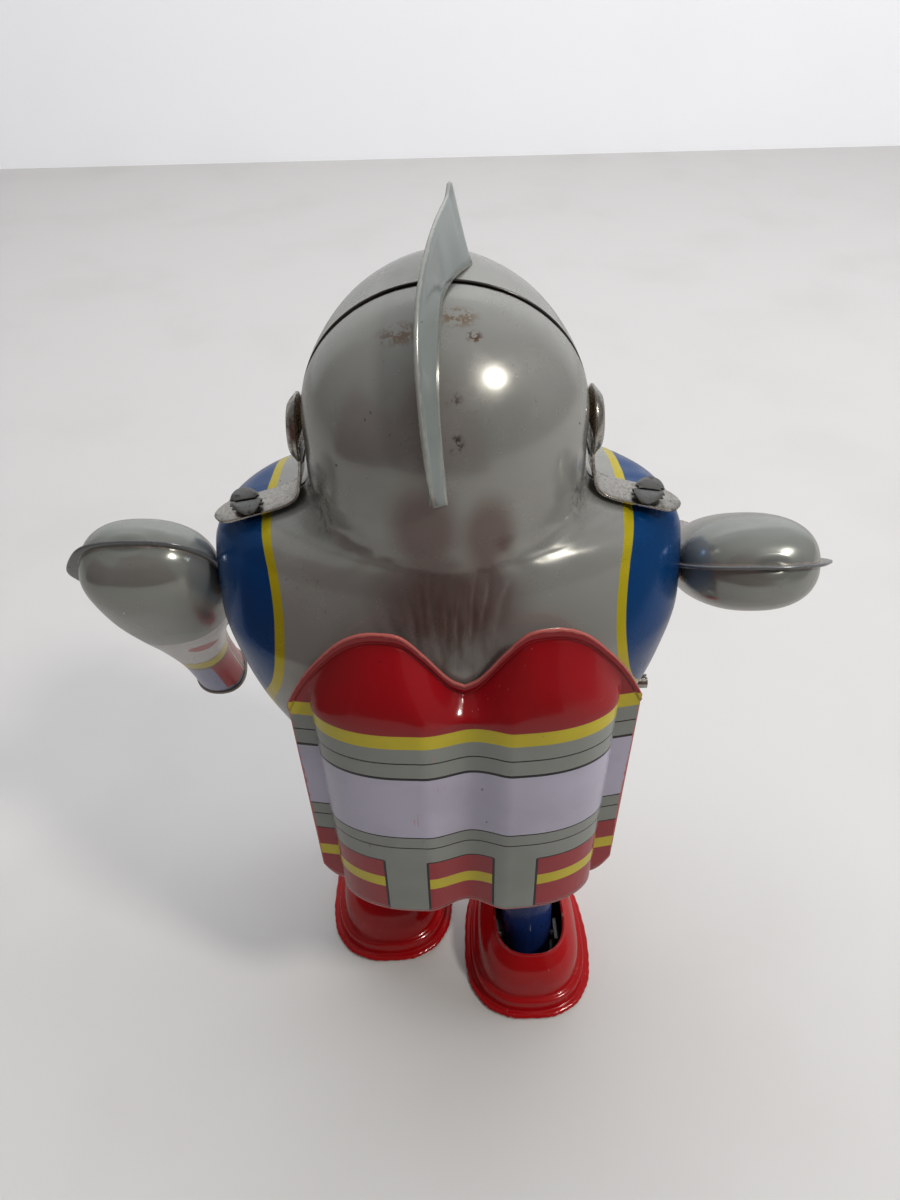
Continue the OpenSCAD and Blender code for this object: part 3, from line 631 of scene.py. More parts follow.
@dataclass
class Casings:
    """The rear and front pressings of the body and head, with their draw wrinkles."""

    sizes: CasingSizes = field(default_factory=CasingSizes)

    def levels(self) -> list[list[float]]:
        """List height, half width, rear depth and front depth from the lower edge to the crown.

        The rear of the head is round, and the front turns down to the face more squarely.
        """
        rows = spline(self.sizes.stations, finer(130))
        base, width, rear, front = self.sizes.stations[-1]
        for share in shares(finer(36))[1:]:
            c, s = max(math.cos(math.pi / 2 * share), 0.0), math.sin(math.pi / 2 * share)
            square = max(1 - s ** self.sizes.brow, 0.0) ** (1 / self.sizes.brow)
            rows.append([base + self.sizes.dome_height * s, width * c, rear * c, front * square])
        return rows

    def wrinkle(self, x: float, z: float, turn: float) -> float:
        """Give how far a point sinks in: creases fanned under the neck, and small puckers round it."""
        dip = 0.0
        if z < self.sizes.neck_top:
            ring, spread, depth_of_ring = self.sizes.pucker
            for place, width, depth, middle in self.sizes.creases:
                fan = place * (1 + 0.03 * (z - middle)) + 0.35 * math.sin(z / 2.7 + place)
                dip += depth * bell(x, fan, width) * bell(z, middle, self.sizes.creased)
            pucker = 1 + math.sin(math.radians(turn * 23) + 2.1 * math.sin(turn / 9))
            dip += depth_of_ring * bell(z, ring, spread) * pucker
        return dip

    def half(self, facing: int) -> Grid:
        """Lay out one casing's points: facing is 1 for the rear and -1 for the front."""
        s = self.sizes
        fullness = s.fullness if facing > 0 else s.front_fullness
        grid = []
        for z, width, rear, front in self.levels():
            row = []
            for share in shares(finer(240)):
                across = 2 * share - 1
                turn = 90 + math.copysign(90 * (0.55 * abs(across) + 0.45 * across * across), across)
                x, y = oval(width, rear if facing > 0 else front, turn, lookup(z, fullness))
                inward = self.wrinkle(x, z, turn) if y > 4 else 0.0
                shrink = 1 - inward / max(math.hypot(x, y), 1.0)
                over = smooth((z - s.stations[-1][0]) / 20) if facing < 0 else 0.0
                lift = over * (0.45 + (s.brow_lift - 0.45) * smooth(y / 14))
                row.append(Vector((x * shrink, facing * (y * shrink + s.seam_gap / 2), z + lift)))
            grid.append(row)
        return flipped(grid, facing < 0)

    def paint(self, tree: Tree, place: Socket) -> Socket:
        """Print the blue flanks and their yellow outline over the grey, and darken the creases under the neck with
        brown streaks.
        """
        _, (x, y, z) = local_place(tree)
        out = calc(tree, "ABSOLUTE", x)
        wave = product(tree, calc(tree, "SUBTRACT", noise(tree, place, 24.0, 1.0), 0.5), 1.6)
        above = product(tree, calc(tree, "SUBTRACT", z, 157.0), 1 / 15)
        curve = calc(tree, "MAXIMUM", product(tree, above, above, -2.4), -5.5)
        edge = calc(tree, "ADD", calc(tree, "ADD", out, wave), curve)
        yellow, blue = (ramp(tree, edge, at - 0.12, at + 0.12) for at in self.sizes.stripe)
        # Brown streaks darken the creases under the neck, above the pack.
        near = product(tree, ramp(tree, out, 15.0, 3.0), ramp(tree, z, 145.0, 156.0), ramp(tree, z, 176.0, 163.0),
                       ramp(tree, y, 4.0, 12.0))
        streak = add(tree, "Mapping", None, {0: place, "Scale": (1.0, 1.0, 0.12)}).outputs[0]
        crease_darkening = product(tree, near, ramp(tree, noise(tree, streak, 2.4, 3.0), 0.35, 0.7, 0.12, 0.6))
        grey = self.blemish(tree, place, blend(tree, crease_darkening, colour("9d9d97"), colour("4e3e30")))
        return blend(tree, blue, blend(tree, yellow, grey, colour(YELLOW)), colour("004078"))

    def blemish(self, tree: Tree, place: Socket, grey: Socket) -> Socket:
        """Rust the crown beside the crest, spot the head, darken two grey patches beside the neck, and paint the red
        pack's reflection on the neck over the pack.
        """
        crumbs = ramp(tree, noise(tree, place, 1.5, 4.0, 0.7), 0.46, 0.56)
        for centre, size, code, share in self.sizes.blemishes:
            near = ramp(tree, reach_from(tree, place, centre, size), 1.0, 0.3)
            grey = blend(tree, product(tree, near, crumbs, share), grey, colour(code))
        # Painted reflection: the red pack's reflection, tinted red-brown onto the neck over the pack.
        for centre, size in self.sizes.painted_pack_reflection:
            near = ramp(tree, reach_from(tree, place, centre, size), 1.0, 0.35, 0.0, 0.62)
            grey = blend(tree, near, grey, colour("5a322e"))
        return grey

    def build(self, finish: "LithographedTin") -> None:
        """Build both casings."""
        tin = finish.material()
        for facing, node in ((1, "rear_casing"), (-1, "front_casing")):
            sheet = TinSheet(node.replace("_", " "), self.half(facing), 0.5, capped=(False, True))
            dress(sheet.build(), "body", tin, [node])


# ---------------------------------------------------------------- crest

@dataclass
class Crest:
    """The folded blade along the head, leaning to the robot's left."""

    stations: Table = (
        (-20, 27.75, -4, -30, 31.2, -1.5), (-17, 27.5, -4.2, -22.5, 41.1, -2), (-12, 27, -3.4, -15, 38.6, -1.3),
        (0, 26.6, -0.8, -2, 36.2, 0.6), (15, 26.6, 1.4, 14, 35, 2.4), (30, 26.8, 2, 30, 34.2, 3.9),
        (45, 27, 2.5, 45, 33.4, 4.4), (60, 27.3, 2.6, 60, 32.4, 4.1), (75, 27.5, 2.3, 75, 31.4, 3.5),
        (88, 27.6, 1.9, 88, 30.4, 2.8), (99, 27.6, 1.6, 98, 28.6, 2.2))
    base_width: float = 3.4
    ridge_width: float = 1.0
    dome_z: float = 192.0

    def at(self, turn: float, radius: float, x: float) -> Vector:
        """Place a point by its turn back from upright and its distance from the head's middle."""
        a = math.radians(turn)
        return Vector((x, radius * math.sin(a), self.dome_z + radius * math.cos(a)))

    def build(self, finish: "LithographedTin") -> None:
        """Loft the fold along the head, from its raised front tip to its tail."""
        grid = []
        for row in spline(self.stations, finer(110)):
            foot, top = self.at(*row[:3]), self.at(*row[3:])
            near, far = ([foot.lerp(top, t) + Vector((side * self.half_width(t), 0, 0)) for t in shares(8)]
                         for side in (-1, 1))
            crown = top + (top - foot).normalized() * 0.4
            grid.append(near + [crown] + far[::-1])
        # The ridge takes the pale rim colour, partly a painted highlight along the fold's ridge.
        sheet = TinSheet("crest", grid, 0.4, ridge=9)
        dress(sheet.build(), "body", finish.material(), ["crest"])

    def half_width(self, t: float) -> float:
        """Give half the fold's thickness, from its foot at 0 to its ridge at 1."""
        return self.base_width / 2 + (self.ridge_width - self.base_width) / 2 * t ** 0.6


# ---------------------------------------------------------------- ears

@dataclass(frozen=True)
class EarSizes:
    """Sizes of the ear dishes and the straps that hold them, in millimetres."""

    path: Table = (
        (30, 178.6), (30.3, 177.2), (31.2, 175.6), (33, 174.4), (36.4, 173.4), (42, 172.4), (48.6, 171.2))
    width: float = 8.6
    rear: float = 1.5
    dish_z: float = 189.0
    dish_r: float = 7.3
    dish_x: tuple[float, float] = (29.3, 31.4)
    drift: float = 0.16
    tab: tuple[float, float] = (42.2, 173.1)
    wing: tuple[float, float] = (2.7, 5.2)
    shear: float = 0.3
    slot: float = 1.0


@dataclass
class Ear:
    """A round ear, its bent strap, and the split tab that holds the strap to the shoulder."""

    side: Side
    sizes: EarSizes = field(default_factory=EarSizes)

    def spun(self, word: str, profile: Sequence[tuple[float, float]], metal: Material, nodes: Sequence[str]) -> None:
        """Spin one part of the ear about X."""
        shape = turned(f"{self.side.word} ear {word}", [(self.side.value * a, b) for a, b in profile],
                       Vector((0, 0, self.sizes.dish_z)))
        dress(shape.build(), "body", metal, nodes)

    def dish(self, plate: Material, inside: Material) -> None:
        """Spin the cup-shaped ear, open towards the head, and the bare brown lining inside it."""
        (near, far), r = self.sizes.dish_x, self.sizes.dish_r
        self.spun("dish", [(near, r - 0.55), (near - 0.12, r - 0.3), (near, r - 0.05), (near + 0.3, r),
                           (far - 0.5, r - 1.5), (far - 0.1, r - 2.1), (far, r - 2.8), (far + 0.05, 2.0),
                           (far + 0.05, 0.0)], plate, [f"{self.side.word}_ear_dish"])
        self.spun("lining", [(near + 0.02, r - 0.5), (far - 0.8, r - 2.1), (far - 0.4, r - 3.0), (far - 0.35, 0.0)],
                  inside, ())

    def strap(self, plate: Material) -> None:
        """Bend the strap from the ear over the shoulder, round at its outer end."""
        s = self.side.value
        half = self.sizes.width / 2
        line = spline([(29.15, 187.5), (29.2, 184.0)] + [list(p) for p in self.sizes.path], 90)
        end = line[-1][0]
        grid = []
        for x, z in line:
            reach = end - x
            width = half if reach > half else math.sqrt(max(half ** 2 - (half - reach) ** 2, 0.04))
            middle = self.sizes.rear + self.sizes.drift * max(x - 30, 0)
            grid.append([Vector((s * x, middle + width * (k / 6 - 1), z + 0.25 - 0.25 * ((k - 6) / 6) ** 2))
                         for k in range(13)])
        sheet = TinSheet(f"{self.side.word} ear strap", flipped(grid, s < 0), 0.55, bevel=0.12)
        dress(sheet.build(), "body", plate, [f"{self.side.word}_ear_strap"])

    def tab(self, dull: Material, dark: Material) -> None:
        """Open the split tab: two half-round wings, with a black plate under the slot between them as painted shade
        of the hole.
        """
        s = self.side.value
        x0, z0 = self.sizes.tab
        tilt = Matrix.Rotation(math.radians(s * 10), 3, "Y")
        middle = Vector((s * x0, self.sizes.rear + self.sizes.drift * (x0 - 30), z0 + 0.75))
        half, reach = self.sizes.wing
        gap = self.sizes.slot / 2
        for end, word in ((-1, "front"), (1, "rear")):
            grid = []
            for turn in (math.pi * share for share in shares(20)):
                row = []
                for t in shares(7):
                    flat = Vector((half * math.cos(turn), end * (gap + t * (reach - gap) * math.sin(turn)), 0))
                    flat.z = 0.5 * math.sin(math.pi * min(t * 0.75, 1)) - 0.35 * t * math.sin(turn)
                    flat.x -= s * self.sizes.shear * flat.y
                    row.append(middle + tilt @ flat)
                grid.append(row)
            wing = TinSheet(f"{self.side.word} split tab wing {word}", flipped(grid, end > 0), 0.5, bevel=0.1)
            dress(wing.build(), "body", dull, [f"{self.side.word}_split_tab"] if end > 0 else [])
        # The black plate under the slot is painted shade in the hole between the wings.
        plate = [[middle + tilt @ Vector((a * (half + 0.8), b * gap * 1.1, -0.25)) for b in (-1, 1)] for a in (-1, 1)]
        slot = TinSheet(f"{self.side.word} tab slot", plate, 0.1)
        dress(slot.build(), "body", dark)


# ---------------------------------------------------------------- rocket pack

@dataclass(frozen=True)
class PackSizes:
    """Sizes of the pressed rocket pack, in millimetres."""

    half_width: float = 37.0
    shift: float = -2.5
    low: float = 79.4
    plane: float = 34.8
    wrap: float = 3.2
    deep: float = 8.0
    taper: float = 1.4
    corner: float = 5.0
    rim: float = 3.0
    full: float = 143.0
    fold: float = 32.0
    upper: Table = (
        (0, 149.5), (3.2, 151.6), (8, 158), (12, 162.4), (16, 163.4), (20.4, 163), (25, 160.3), (30, 154.6),
        (33.6, 149.3), (37, 142.5))


@dataclass
class RocketPack:
    """The printed pack on the back: two lobes inside a flat flange."""

    sizes: PackSizes = field(default_factory=PackSizes)

    def top(self, x: float) -> float:
        """Give the height of the upper edge, read off a smooth curve through its stations."""
        return lookup(abs(x), [tuple(row) for row in spline(self.sizes.upper, 60)])

    def lobe(self, x: float, rise: float) -> float:
        """Give the share of the full depth: the valley is deeper in the dome than below it."""
        middle = 0.58 - 0.3 * (1 - rise)
        wall = max(1 - (max(abs(x) - 13, 0) / (self.sizes.fold - 13)) ** 2.4, 0) ** (0.5 + 1.1 * (1 - rise))
        return (middle + (1 - middle) * smooth(abs(x) / 10)) * wall

    def point(self, x: float, z: float, rise: float) -> Vector:
        """Place a point of the sheet."""
        s = self.sizes
        narrow = 1 - s.taper / s.half_width * (1 - min(max((z - s.low) / 65, 0), 1))
        return Vector((s.shift + x * narrow,
                       s.plane - s.wrap * (x / s.half_width) ** 2 + s.deep * self.lobe(x, rise) * rise, z))

    def column(self, x: float) -> Row:
        """Run one column up the sheet, over the dome and out along the rim."""
        s = self.sizes
        top = self.top(x)
        fold = top - s.rim
        dome = max(fold - s.full, 3.5)
        foot = s.low + s.corner * max((abs(x) - s.fold) / 5, 0) ** 2
        straight, curve = finer(40), finer(26)
        row = [self.point(x, foot + (fold - dome - foot) * k / straight, 1) for k in range(straight)]
        for k in range(curve, 0, -1):
            t = (k / curve) ** 1.3
            row.append(self.point(x, fold - t * dome, math.sin(math.pi / 2 * t)))
        for t in shares(6):
            groove = self.point(x, fold + t * s.rim, 0)
            groove.y += -0.25 * bell(t, 0.05, 0.16) + 0.3 * smooth((t - 0.15) / 0.25)
            row.append(groove)
        return row

    def paint(self, tree: Tree, place: Socket) -> Socket:
        """Print the pack: a red crown, a yellow line, a pale panel between thin lines, and blocks below."""
        _, (x, _, z) = local_place(tree)
        out = calc(tree, "ABSOLUTE", calc(tree, "SUBTRACT", x, self.sizes.shift + 1.6))
        up = calc(tree, "ADD", z, ramp(tree, out, 9.0, 0.0, 0.0, 1.8))
        grey, red, brick, black, pale = "868983", "8e0f17", "96202a", "0c0b0b", "b4afc0"
        full = bands(tree, up, ((70, grey), (101.2, grey), (105.0, black), (105.5, grey), (108.8, black),
                                (109.3, pale), (129.3, black), (129.8, grey), (134.1, black),
                                (134.6, grey), (139.0, YELLOW), (143.0, red)), 70, 170)
        block = bands(tree, up, ((70, brick), (89.0, YELLOW), (92.9, brick), (99.7, grey)), 70, 170)
        columns = calc(tree, "MAXIMUM", ramp(tree, out, 7.6, 7.4), ramp(tree, out, 17.6, 17.8))
        low = ramp(tree, up, 99.9, 99.7)
        blocked = blend(tree, product(tree, columns, low), full, block)
        line = calc(tree, "MAXIMUM", *(calc(tree, "COMPARE", out, at, 0.28) for at in (7.6, 17.6)))
        cap = product(tree, calc(tree, "COMPARE", up, 99.8, 0.2), columns)
        return blend(tree, calc(tree, "MAXIMUM", product(tree, line, low), cap), blocked, colour(black))

    def spread(self, t: float) -> float:
        """Crowd the columns towards the folds, where the sheet turns most sharply."""
        fold = self.sizes.fold / self.sizes.half_width
        out = abs(t)
        if out < 0.8:
            return math.copysign(fold * (1 - (1 - out / 0.8) ** 1.5), t)
        return math.copysign(fold + (1 - fold) * (out - 0.8) / 0.2, t)

    def build(self, finish: "LithographedTin") -> None:
        """Build the pack's sheet."""
        turns = [2 * share - 1 for share in shares(2 * finer(110))]
        columns = [self.column(-self.spread(t) * self.sizes.half_width) for t in turns]
        grid = [list(row) for row in zip(*columns)]
        sheet = TinSheet("rocket pack", grid, 0.5)
        dress(sheet.build(), "body", finish.material(), ["rocket_pack"])


# ---------------------------------------------------------------- arms

@dataclass(frozen=True)
class ArmSizes:
    """Sizes of an arm, in millimetres along and across it from the shoulder axle."""

    stations: Table = (
        (-68, 7, 7), (-60, 6.8, 6.8), (-50, 7, 6.8), (-40, 8, 7.4), (-30, 10.4, 8.4), (-20, 13.8, 9.8),
        (-10, 16, 10.8), (0, 16.6, 11), (7, 16.2, 10.4), (12, 13.6, 8.6), (15.2, 9.6, 5.6), (16.6, 4.8, 2.8),
        (17, 0.05, 0.05))
    fullness: float = 2.3
    arm_x: float = 69.0
    lead: float = 42.0
    swing: float = 1.8 * 8.1
    flange: float = 1.5
    tip: float = 2.0
    outer_share: float = 0.82
    lift: float = 1.8
    inward: float = 0.6


@dataclass
class Arm:
    """A clamshell arm: two pressings that meet in a raised flange."""

    side: Side
    sizes: ArmSizes = field(default_factory=ArmSizes)

    def place(self, point: Vector) -> Vector:
        """Carry a point of the arm to where the arm stands at rest."""
        s = self.sizes
        angle = math.radians(-s.lead + self.side.value * s.swing)
        turned_point = Matrix.Rotation(angle, 3, "X") @ point
        return turned_point + Vector((self.side.value * (s.arm_x - s.inward), 0,
                                      DATUM.shoulder_z + s.lift))

    def across(self, x: float, z: float) -> float:
        """Draw the outer half of the pod in: its inner half is the fuller one."""
        if x * self.side.value <= 0:
            return x
        return x * (1 - (1 - self.sizes.outer_share) * smooth((z + 42) / 26))

    def outline(self) -> list[list[float]]:
        """List the arm's rings from the wrist up to the crown of the pod."""
        rows = spline(self.sizes.stations[:-1], finer(110))
        return rows + [list(self.sizes.stations[-1])]

    def half(self, facing: int) -> Piece:
        """Press one half: facing is 1 for the rear and -1 for the front."""
        grid = []
        for z, a, b in self.outline():
            ring = (oval(max(a, 0.02), max(b, 0.02), 180 * t, self.sizes.fullness) for t in shares(finer(60)))
            grid.append([Vector((self.across(x, z), facing * (y + 0.06), z)) for x, y in ring])
        word = "rear" if facing > 0 else "front"
        return TinSheet(f"{self.side.word} arm {word}", flipped(grid, facing < 0), 0.45, capped=(False, True),
                        frame_to=self.place).build()

    def flange(self) -> Piece:
        """Run the seam's raised flange round the pod, widest at its outer tip."""
        rings = [row for row in self.outline() if row[0] > -34]
        flank = [(a, z) for z, a, _ in rings[:-1]]
        outline = flank + [(0.0, rings[-1][0])] + [(-a, z) for a, z in reversed(flank)]
        path = [Vector((self.across(x, z), 0, z)) for x, z in outline]
        grid = []
        last = len(path) - 1
        for i, point in enumerate(path):
            along = (path[min(i + 1, last)] - path[max(i - 1, 0)]).normalized()
            out = Vector((along.z, 0, -along.x))
            if out.dot(point - Vector((0, 0, -12))) < 0:
                out.negate()
            tip = self.sizes.tip * bell(point.z, 3.0, 5.0) if point.x * self.side.value > 6 else 0.0
            reach = (self.sizes.flange + tip) * smooth((point.z + 33) / 9)
            section = [(-0.5, 0.42), (reach * 0.8, 0.42), (reach + 0.1, 0.2)]
            section += [(away, -high) for away, high in reversed(section)]
            grid.append([point + out * away + Vector((0, high, 0)) for away, high in section])
        grid = [list(row) for row in zip(*grid)]
        return TinSheet(f"{self.side.word} arm flange", grid, 0.0, frame_to=self.place).build()

    def wrist(self) -> Piece:
        """Roll the dark lip at the open end of the sleeve."""
        rings = ((-68.0, 0.0), (-68.25, 0.35), (-67.9, 0.55), (-67.4, 0.35), (-67.2, 0.0))
        grid = [[Vector((*oval(7 + grow, 7 + grow, 360 * k / 64, self.sizes.fullness), z)) for k in range(64)]
                for z, grow in rings]
        return TinSheet(f"{self.side.word} wrist lip", grid, 0.3, closed=True, frame_to=self.place).build()

    def paint(self, tree: Tree, place: Socket) -> Socket:
        """Print the arm: grey pod, pale zone with a red spot, yellow band and lilac sleeve."""
        place, (x, _, z) = local_place(tree)
        across = product(tree, x, float(self.side.value))
        slant = calc(tree, "ADD", z, product(tree, across, 0.22))
        stops = ((-70, "3a3f52"), (-66.4, "8e91ad"), (-46.5, "23242a"), (-46.0, "c9b820"), (-40.6, "23242a"),
                 (-40.2, "d2cfcc"), (-18.0, "9b9e98"))
        centre, size = (-6.0 * self.side.value, 0.0, -26.0), (1 / 0.28, 1e6, 1 / 0.36)
        spot = ramp(tree, reach_from(tree, place, centre, size), 1.03, 0.97)
        patch = product(tree, ramp(tree, across, -2.6, -3.0), ramp(tree, z, -65.0, -64.8),
                        ramp(tree, slant, -46.3, -46.5))
        printed = blend(tree, spot, bands(tree, slant, stops, -70, 20), colour("b02018"))
        return blend(tree, patch, printed, colour("a3141c"))

    def build(self, finish: "LithographedTin", edge: "LithographedTin") -> None:
        """Build the arm's two halves, flange and wrist."""
        tin = finish.material()
        word = self.side.word
        for facing, node in ((1, f"{word}_arm_rear"), (-1, f"{word}_arm_front")):
            dress(self.half(facing), f"{word}_arm", tin, [node])
        rim = edge.material()
        dress(self.flange(), f"{word}_arm", rim)
        dress(self.wrist(), f"{word}_arm", rim)


# ---------------------------------------------------------------- legs and shoes

@dataclass(frozen=True)
class LegSizes:
    """Sizes of a leg and its shoe, in millimetres."""

    leg_x: float = 21.5
    radius: float = 7.75
    length: float = 71.0
    top: float = -6.0
    stride: float = 8.1
    shoe_x: float = 22.0
    half_width: float = 19.75
    toe: float = 33.0
    heel: float = 22.5
    power: float = 2.5
    opening: tuple[float, float, float] = (10.5, 15.2, 12.8)
    rings: Table = (
        (0.3, 0, 0), (0.7, -0.35, 0), (1.25, -0.1, 0), (1.6, 0.5, 0), (1.75, 1.3, 0), (2.3, 1.6, 0), (5.3, 1.9, 0),
        (6.0, 2.35, 0), (6.35, 3.2, 0), (7.2, 3.6, 0), (12, 4.2, 0), (15, 5.0, 0), (17.4, 6.2, 0), (19.2, 7.6, 0),
        (20.4, 8.6, 0.12), (21.1, 8.8, 0.4), (21.45, 8.8, 0.72), (21.3, 8.8, 0.93), (20.7, 8.8, 1.0))


@dataclass
class Leg:
    """A tube leg hung on the hip rod, and the pressed shoe pinned to it."""

    side: Side
    sizes: LegSizes = field(default_factory=LegSizes)

    def place(self, point: Vector) -> Vector:
        """Carry a point of the leg to where the leg stands at rest."""
        angle = math.radians(-self.side.value * self.sizes.stride)
        return Matrix.Rotation(angle, 3, "X") @ point + Vector((0, 0, DATUM.hip_z))

    def tube(self) -> Piece:
        """Draw the leg's tube, rolled at its lower end, with the seam down its back."""
        s = self.sizes
        low = -s.length - 5.4
        heights = [low, low + 0.3] + [low + 0.6 + (s.top - low - 0.6) * t for t in shares(20)]
        grid = []
        for z in heights:
            row = []
            for turn in ring_turns(72):
                radius = s.radius - (0.25 if z == low else 0.0) - 0.22 * bell(math.degrees(turn), 96, 2.6)
                row.append(Vector((self.side.value * s.leg_x + radius * math.cos(turn),
                                   radius * math.sin(turn), z)))
            grid.append(row)
        return TinSheet(f"{self.side.word} leg tube", grid, 0.5, closed=True, frame_to=self.place).build()

    def shoe_ring(self, height: float, inset: float, merge: float, steps: int) -> Row:
        """Lay out one ring of the shoe, between its plan and its opening."""
        s, sign = self.sizes, self.side.value
        ankle_y = -sign * s.length * math.sin(math.radians(s.stride))
        row = []
        for j in range(steps):
            turn = 360 * j / steps
            outer_x, outer_y = oval(s.half_width - inset, 1.0, turn, s.power)
            outer_y *= (s.heel if outer_y > 0 else s.toe) - inset
            hole_x, hole_y = oval(s.opening[0], 1.0, turn, s.power)
            hole_y *= s.opening[2] if hole_y > 0 else s.opening[1]
            wobble = 0.16 * math.sin(turn * 0.61) * math.sin(turn * 0.37) if inset < 1 and height < 2 else 0.0
            x, y = outer_x + (hole_x - outer_x) * merge, outer_y + (hole_y - outer_y) * merge
            swell = 1 + wobble / max(math.hypot(x, y), 1.0)
            row.append(Vector((sign * s.shoe_x + x * swell, ankle_y + y * swell, height)))
        return row

    def shoe(self) -> Piece:
        """Press the shoe: a crimped rim, a stepped ledge, a rounded upper and its opening."""
        rings = spline(self.sizes.rings, 110)
        grid = [self.shoe_ring(*ring, finer(200)) for ring in rings]
        return TinSheet(f"{self.side.word} shoe", grid, 0.45, closed=True).build()

    def edge(self) -> Piece:
        """Run a black edge round the opening and down inside it, which darkens the gap round the leg."""
        rings = ((21.42, 8.8, 0.9), (21.34, 8.8, 1.0), (20.9, 8.8, 1.05), (19.9, 8.8, 1.05))
        grid = [self.shoe_ring(*ring, 96) for ring in rings]
        return TinSheet(f"{self.side.word} shoe edge", grid, 0.2, closed=True).build()

    def build(self, blue: Material, red: Material, black: Material) -> None:
        """Build the tube, the shoe and the opening's edge."""
        word = self.side.word
        dress(self.tube(), f"{word}_leg", blue, [f"{word}_leg_tube"])
        dress(self.shoe(), f"{word}_foot", red, [f"{word}_shoe"])
        dress(self.edge(), f"{word}_foot", black)


# ---------------------------------------------------------------- clockwork and fittings

def both(*parts: str) -> tuple[str, ...]:
    """Name parts of the robot's left and right."""
    return tuple(f"{side.word}_{part}" for side in Side for part in parts)


@dataclass(frozen=True)
class Fittings:
    """CAD nodes that show as they are, in one finish."""

    slot: str
    nodes: tuple[str, ...]

    def build(self, material: Material) -> None:
        """Give each node the finish."""
        for name in self.nodes:
            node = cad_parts[name]
            node.data.materials.clear()
            node.data.materials.append(material)


MOTOR_STEEL = Fittings("plain_steel", (
    "motor_plate_left", "motor_plate_right", "motor_pillars", "motor_bracket", "hip_rod", "mainspring", "click",
    "click_spring", "second_pinion", "crank_pinion", "governor_pinion", "base_plate",
    *both("crank", "leg_lever", "ankle_pin", "roller_axle", "arm_axle", "arm_lever", "sole_plate")))
MOTOR_BRASS = Fittings("brass", ("ratchet_wheel", "great_wheel", "second_wheel", "crank_wheel", "flywheel",
                                 *both("shoulder_bush")))
TABS = Fittings("grey_enamel", ("casing_tabs", "pack_tabs"))
CHEST = Fittings("grey_enamel", ("chest_plate",))
VISOR = Fittings("black_enamel", ("visor",))
BRIGHT = Fittings("nickel_plate", ("mouth_grille", "winding_arbor"))
ROLLERS = Fittings("black_rubber", both("roller"))


# ---------------------------------------------------------------- studio

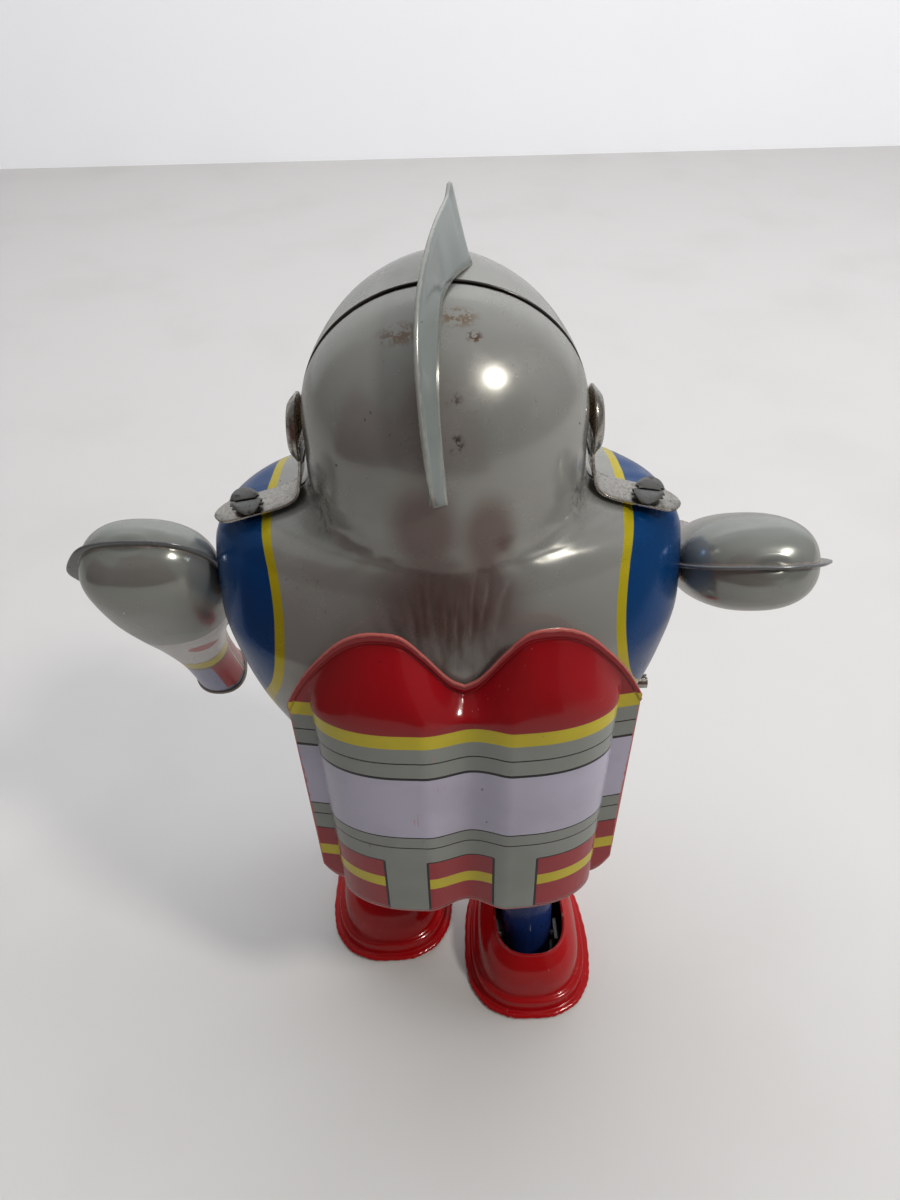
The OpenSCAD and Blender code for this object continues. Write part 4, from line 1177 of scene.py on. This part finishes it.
@dataclass(frozen=True)
class Studio:
    """The table, the paper behind it, the soft lights and the camera."""

    eye: tuple[float, float, float] = (0.0, 162.0, 279.0)
    pitch: float = 40.1
    roll: float = 1.5
    lens: float = 27.06

    def hang(self, name: str, data: bpy.types.ID) -> Piece:
        """Put a camera, a light or a sheet in the scene."""
        thing = bpy.data.objects.new(name, data)
        bpy.context.scene.collection.objects.link(thing)
        return thing

    def camera(self) -> None:
        """Stand the camera behind the robot, looking down on its back."""
        data = bpy.data.cameras.new("camera")
        data.lens, data.sensor_width, data.sensor_fit = self.lens, 36.0, "AUTO"
        data.clip_start, data.clip_end = 0.01, 20.0
        eye = self.hang("camera", data)
        x, y, z = self.eye
        eye.location = Vector((x, y + DATUM.body_y, z)) * MM
        down, turn = math.radians(self.pitch), math.radians(self.roll)
        level = Vector((0, -math.cos(down), -math.sin(down))).to_track_quat("-Z", "Y").to_matrix()
        eye.rotation_euler = (level @ Matrix.Rotation(-turn, 3, "Z")).to_euler()
        bpy.context.scene.camera = eye

    def surface(self, name: str, corners: Sequence[Triple], material: Material) -> Piece:
        """Stand one flat sheet of the set."""
        mesh = bpy.data.meshes.new(name)
        mesh.from_pydata([tuple(c * MM for c in corner) for corner in corners], [], [(0, 1, 2, 3)])
        mesh.materials.append(material)
        piece = self.hang(name, mesh)
        return piece

    def paper(self, name: str, base: str, stain: str, mirrored: str, glow: float = 0.0) -> Material:
        """Make the matt pale sheet, clouded very slightly, and darker where the bright finishes mirror it."""
        material, tree, shader = Finish(name).begin()
        place = add(tree, "TexCoord").outputs["Object"]
        cloud = noise(tree, place, 90.0, 4.0)
        tone = blend(tree, ramp(tree, cloud, 0.45, 0.75, 0.0, 0.25), colour(base), colour(stain))
        glossy = add(tree, "LightPath").outputs["Is Glossy Ray"]
        tree.links.new(blend(tree, glossy, tone, colour(mirrored)), shader.inputs["Base Color"])
        shader.inputs["Emission Color"].default_value = colour("ffffff")
        shader.inputs["Emission Strength"].default_value = glow
        shader.inputs["Roughness"].default_value = 0.62
        shader.inputs["Specular IOR Level"].default_value = 0.25
        return material

    def light(self, name: str, at: tuple[float, float, float], size: float, power: float, tint: str,
              mirrored: bool = False) -> None:
        """Hang one soft round light, aimed at the robot, that the bright finishes mirror or only feel."""
        data = bpy.data.lights.new(name, "AREA")
        data.shape, data.size, data.energy, data.color = "DISK", size, power, colour(tint)[:3]
        lamp = self.hang(name, data)
        lamp.visible_glossy = mirrored
        lamp.location = at
        lamp.rotation_euler = (Vector((0, 0, 0.12)) - Vector(at)).to_track_quat("-Z", "Y").to_euler()

    def onlooker(self) -> None:
        """Stand dark cards behind and beside the camera, which only the bright finishes mirror."""
        material, _, shader = Finish("onlooker cloth").begin()
        shader.inputs["Base Color"].default_value = colour("4a2420")
        shader.inputs["Roughness"].default_value = 1.0
        for name, corners in (
                ("onlooker", ((-230, 420, 20), (380, 420, 20), (330, 470, 900), (-150, 470, 900))),
                ("sleeve", ((460, 20, 0), (400, 420, 0), (380, 460, 420), (440, 60, 420)))):
            card = self.surface(name, corners, material)
            card.visible_camera = card.visible_diffuse = card.visible_shadow = False

    def build(self) -> None:
        """Build the set."""
        floor = self.paper("table paper", "cac8c4", "bcb8b3", "a09c97")
        wall = self.paper("backdrop paper", "f2f2f3", "ececee", "c8c8c8", 0.16)
        side, near, far, high = 1500, 1500, -950, 2500
        self.surface("table", ((-side, far, 0), (side, far, 0), (side, near, 0), (-side, near, 0)), floor)
        self.surface("backdrop", ((-side, far, 0), (-side, far, high), (side, far, high), (side, far, 0)), wall)
        self.onlooker()
        self.light("lamp", (-0.62, 0.42, 1.0), 0.14, 5.0, "fffaf2", mirrored=True)
        self.light("ceiling", (0.0, -0.35, 1.3), 1.4, 14.0, "f6f8ff")
        self.light("side window", (-1.1, -0.1, 0.6), 0.8, 5.0, "f4f6ff")
        world = bpy.data.worlds.new("room")
        world.use_nodes = True
        tree = world.node_tree
        mirrored = add(tree, "LightPath").outputs["Is Glossy Ray"]
        sky = tree.nodes["Background"]
        tree.links.new(blend(tree, mirrored, colour("c8c9cc"), colour("b2afaa")), sky.inputs[0])
        sky.inputs[1].default_value = 0.34
        bpy.context.scene.world = world
        bpy.context.scene.view_settings.view_transform = "Standard"
        self.camera()


# ---------------------------------------------------------------- the robot

@dataclass
class Robot:
    """The whole toy: every sub-assembly in its finish."""

    sides: tuple[Side, Side] = (Side.LEFT, Side.RIGHT)

    def build(self) -> None:
        """Build and dress every sub-assembly."""
        casings, pack = Casings(), RocketPack()
        # Casings: the dark rim colour is painted shade in the seam gap.
        casings.build(LithographedTin("casing print", "8a8d87", worn="34302c", rub_mm=0.1, sheen=0.5, gloss=0.2,
                                      paint=casings.paint))
        # Crest: the pale rim colour is partly a painted highlight on its rolled edges and ridge, and partly wear.
        Crest().build(LithographedTin("crest tin", "8e9592", worn="b2b2aa", rub_mm=0.1, sheen=0.4, gloss=0.18))
        pack.build(LithographedTin("pack print", "8e0f17", worn="b8645c", rub_mm=0.22, gloss=0.14, paint=pack.paint))
        nickel = PlatedMetal("nickel plate").material()
        bronze = PlatedMetal("ear disc bronze", "6a5238", "2c2018").material()
        dull = PlatedMetal("split tab tin", "8c8d8c", "4a4844", 0.38).material()
        # The visor's black finish, also used as painted shade in the split tabs' slots.
        black_enamel_and_slot_shade = LithographedTin("black enamel", "0c0c0d", carried=True).material()
        blue = LithographedTin("leg tin", "142c60").material()
        red = LithographedTin("shoe tin", "a2060d", worn="d9968c", gloss=0.16).material()
        black_edge = LithographedTin("shoe edge", "120f0f", worn="4a3c38").material()
        for side in self.sides:
            ear = Ear(side)
            ear.dish(nickel, bronze)
            ear.strap(nickel)
            ear.tab(dull, black_enamel_and_slot_shade)
            arm = Arm(side)
            arm.build(LithographedTin(f"{side.word} arm print", "8a8d87", sheen=0.55, gloss=0.17, paint=arm.paint),
                      LithographedTin(f"{side.word} arm edge", "77797a", worn="a59a8e", sheen=0.45))
            Leg(side).build(blue, red, black_edge)
        MOTOR_STEEL.build(CutMetal("cut steel").material())
        MOTOR_BRASS.build(CutMetal("cut brass", "b08d4a", "5a4424").material())
        TABS.build(LithographedTin("tab tin", "8a8d87", carried=True).material())
        VISOR.build(black_enamel_and_slot_shade)
        BRIGHT.build(nickel)
        ROLLERS.build(MouldedRubber("roller rubber").material())
        CHEST.build(LithographedTin("chest print", "8a8d87", carried=True).material())


def main() -> None:
    """Build the robot and its set."""
    logging.basicConfig(level=logging.INFO, format="%(name)s: %(message)s")
    Robot().build()
    Studio().build()


if __name__ == "__main__":
    main()
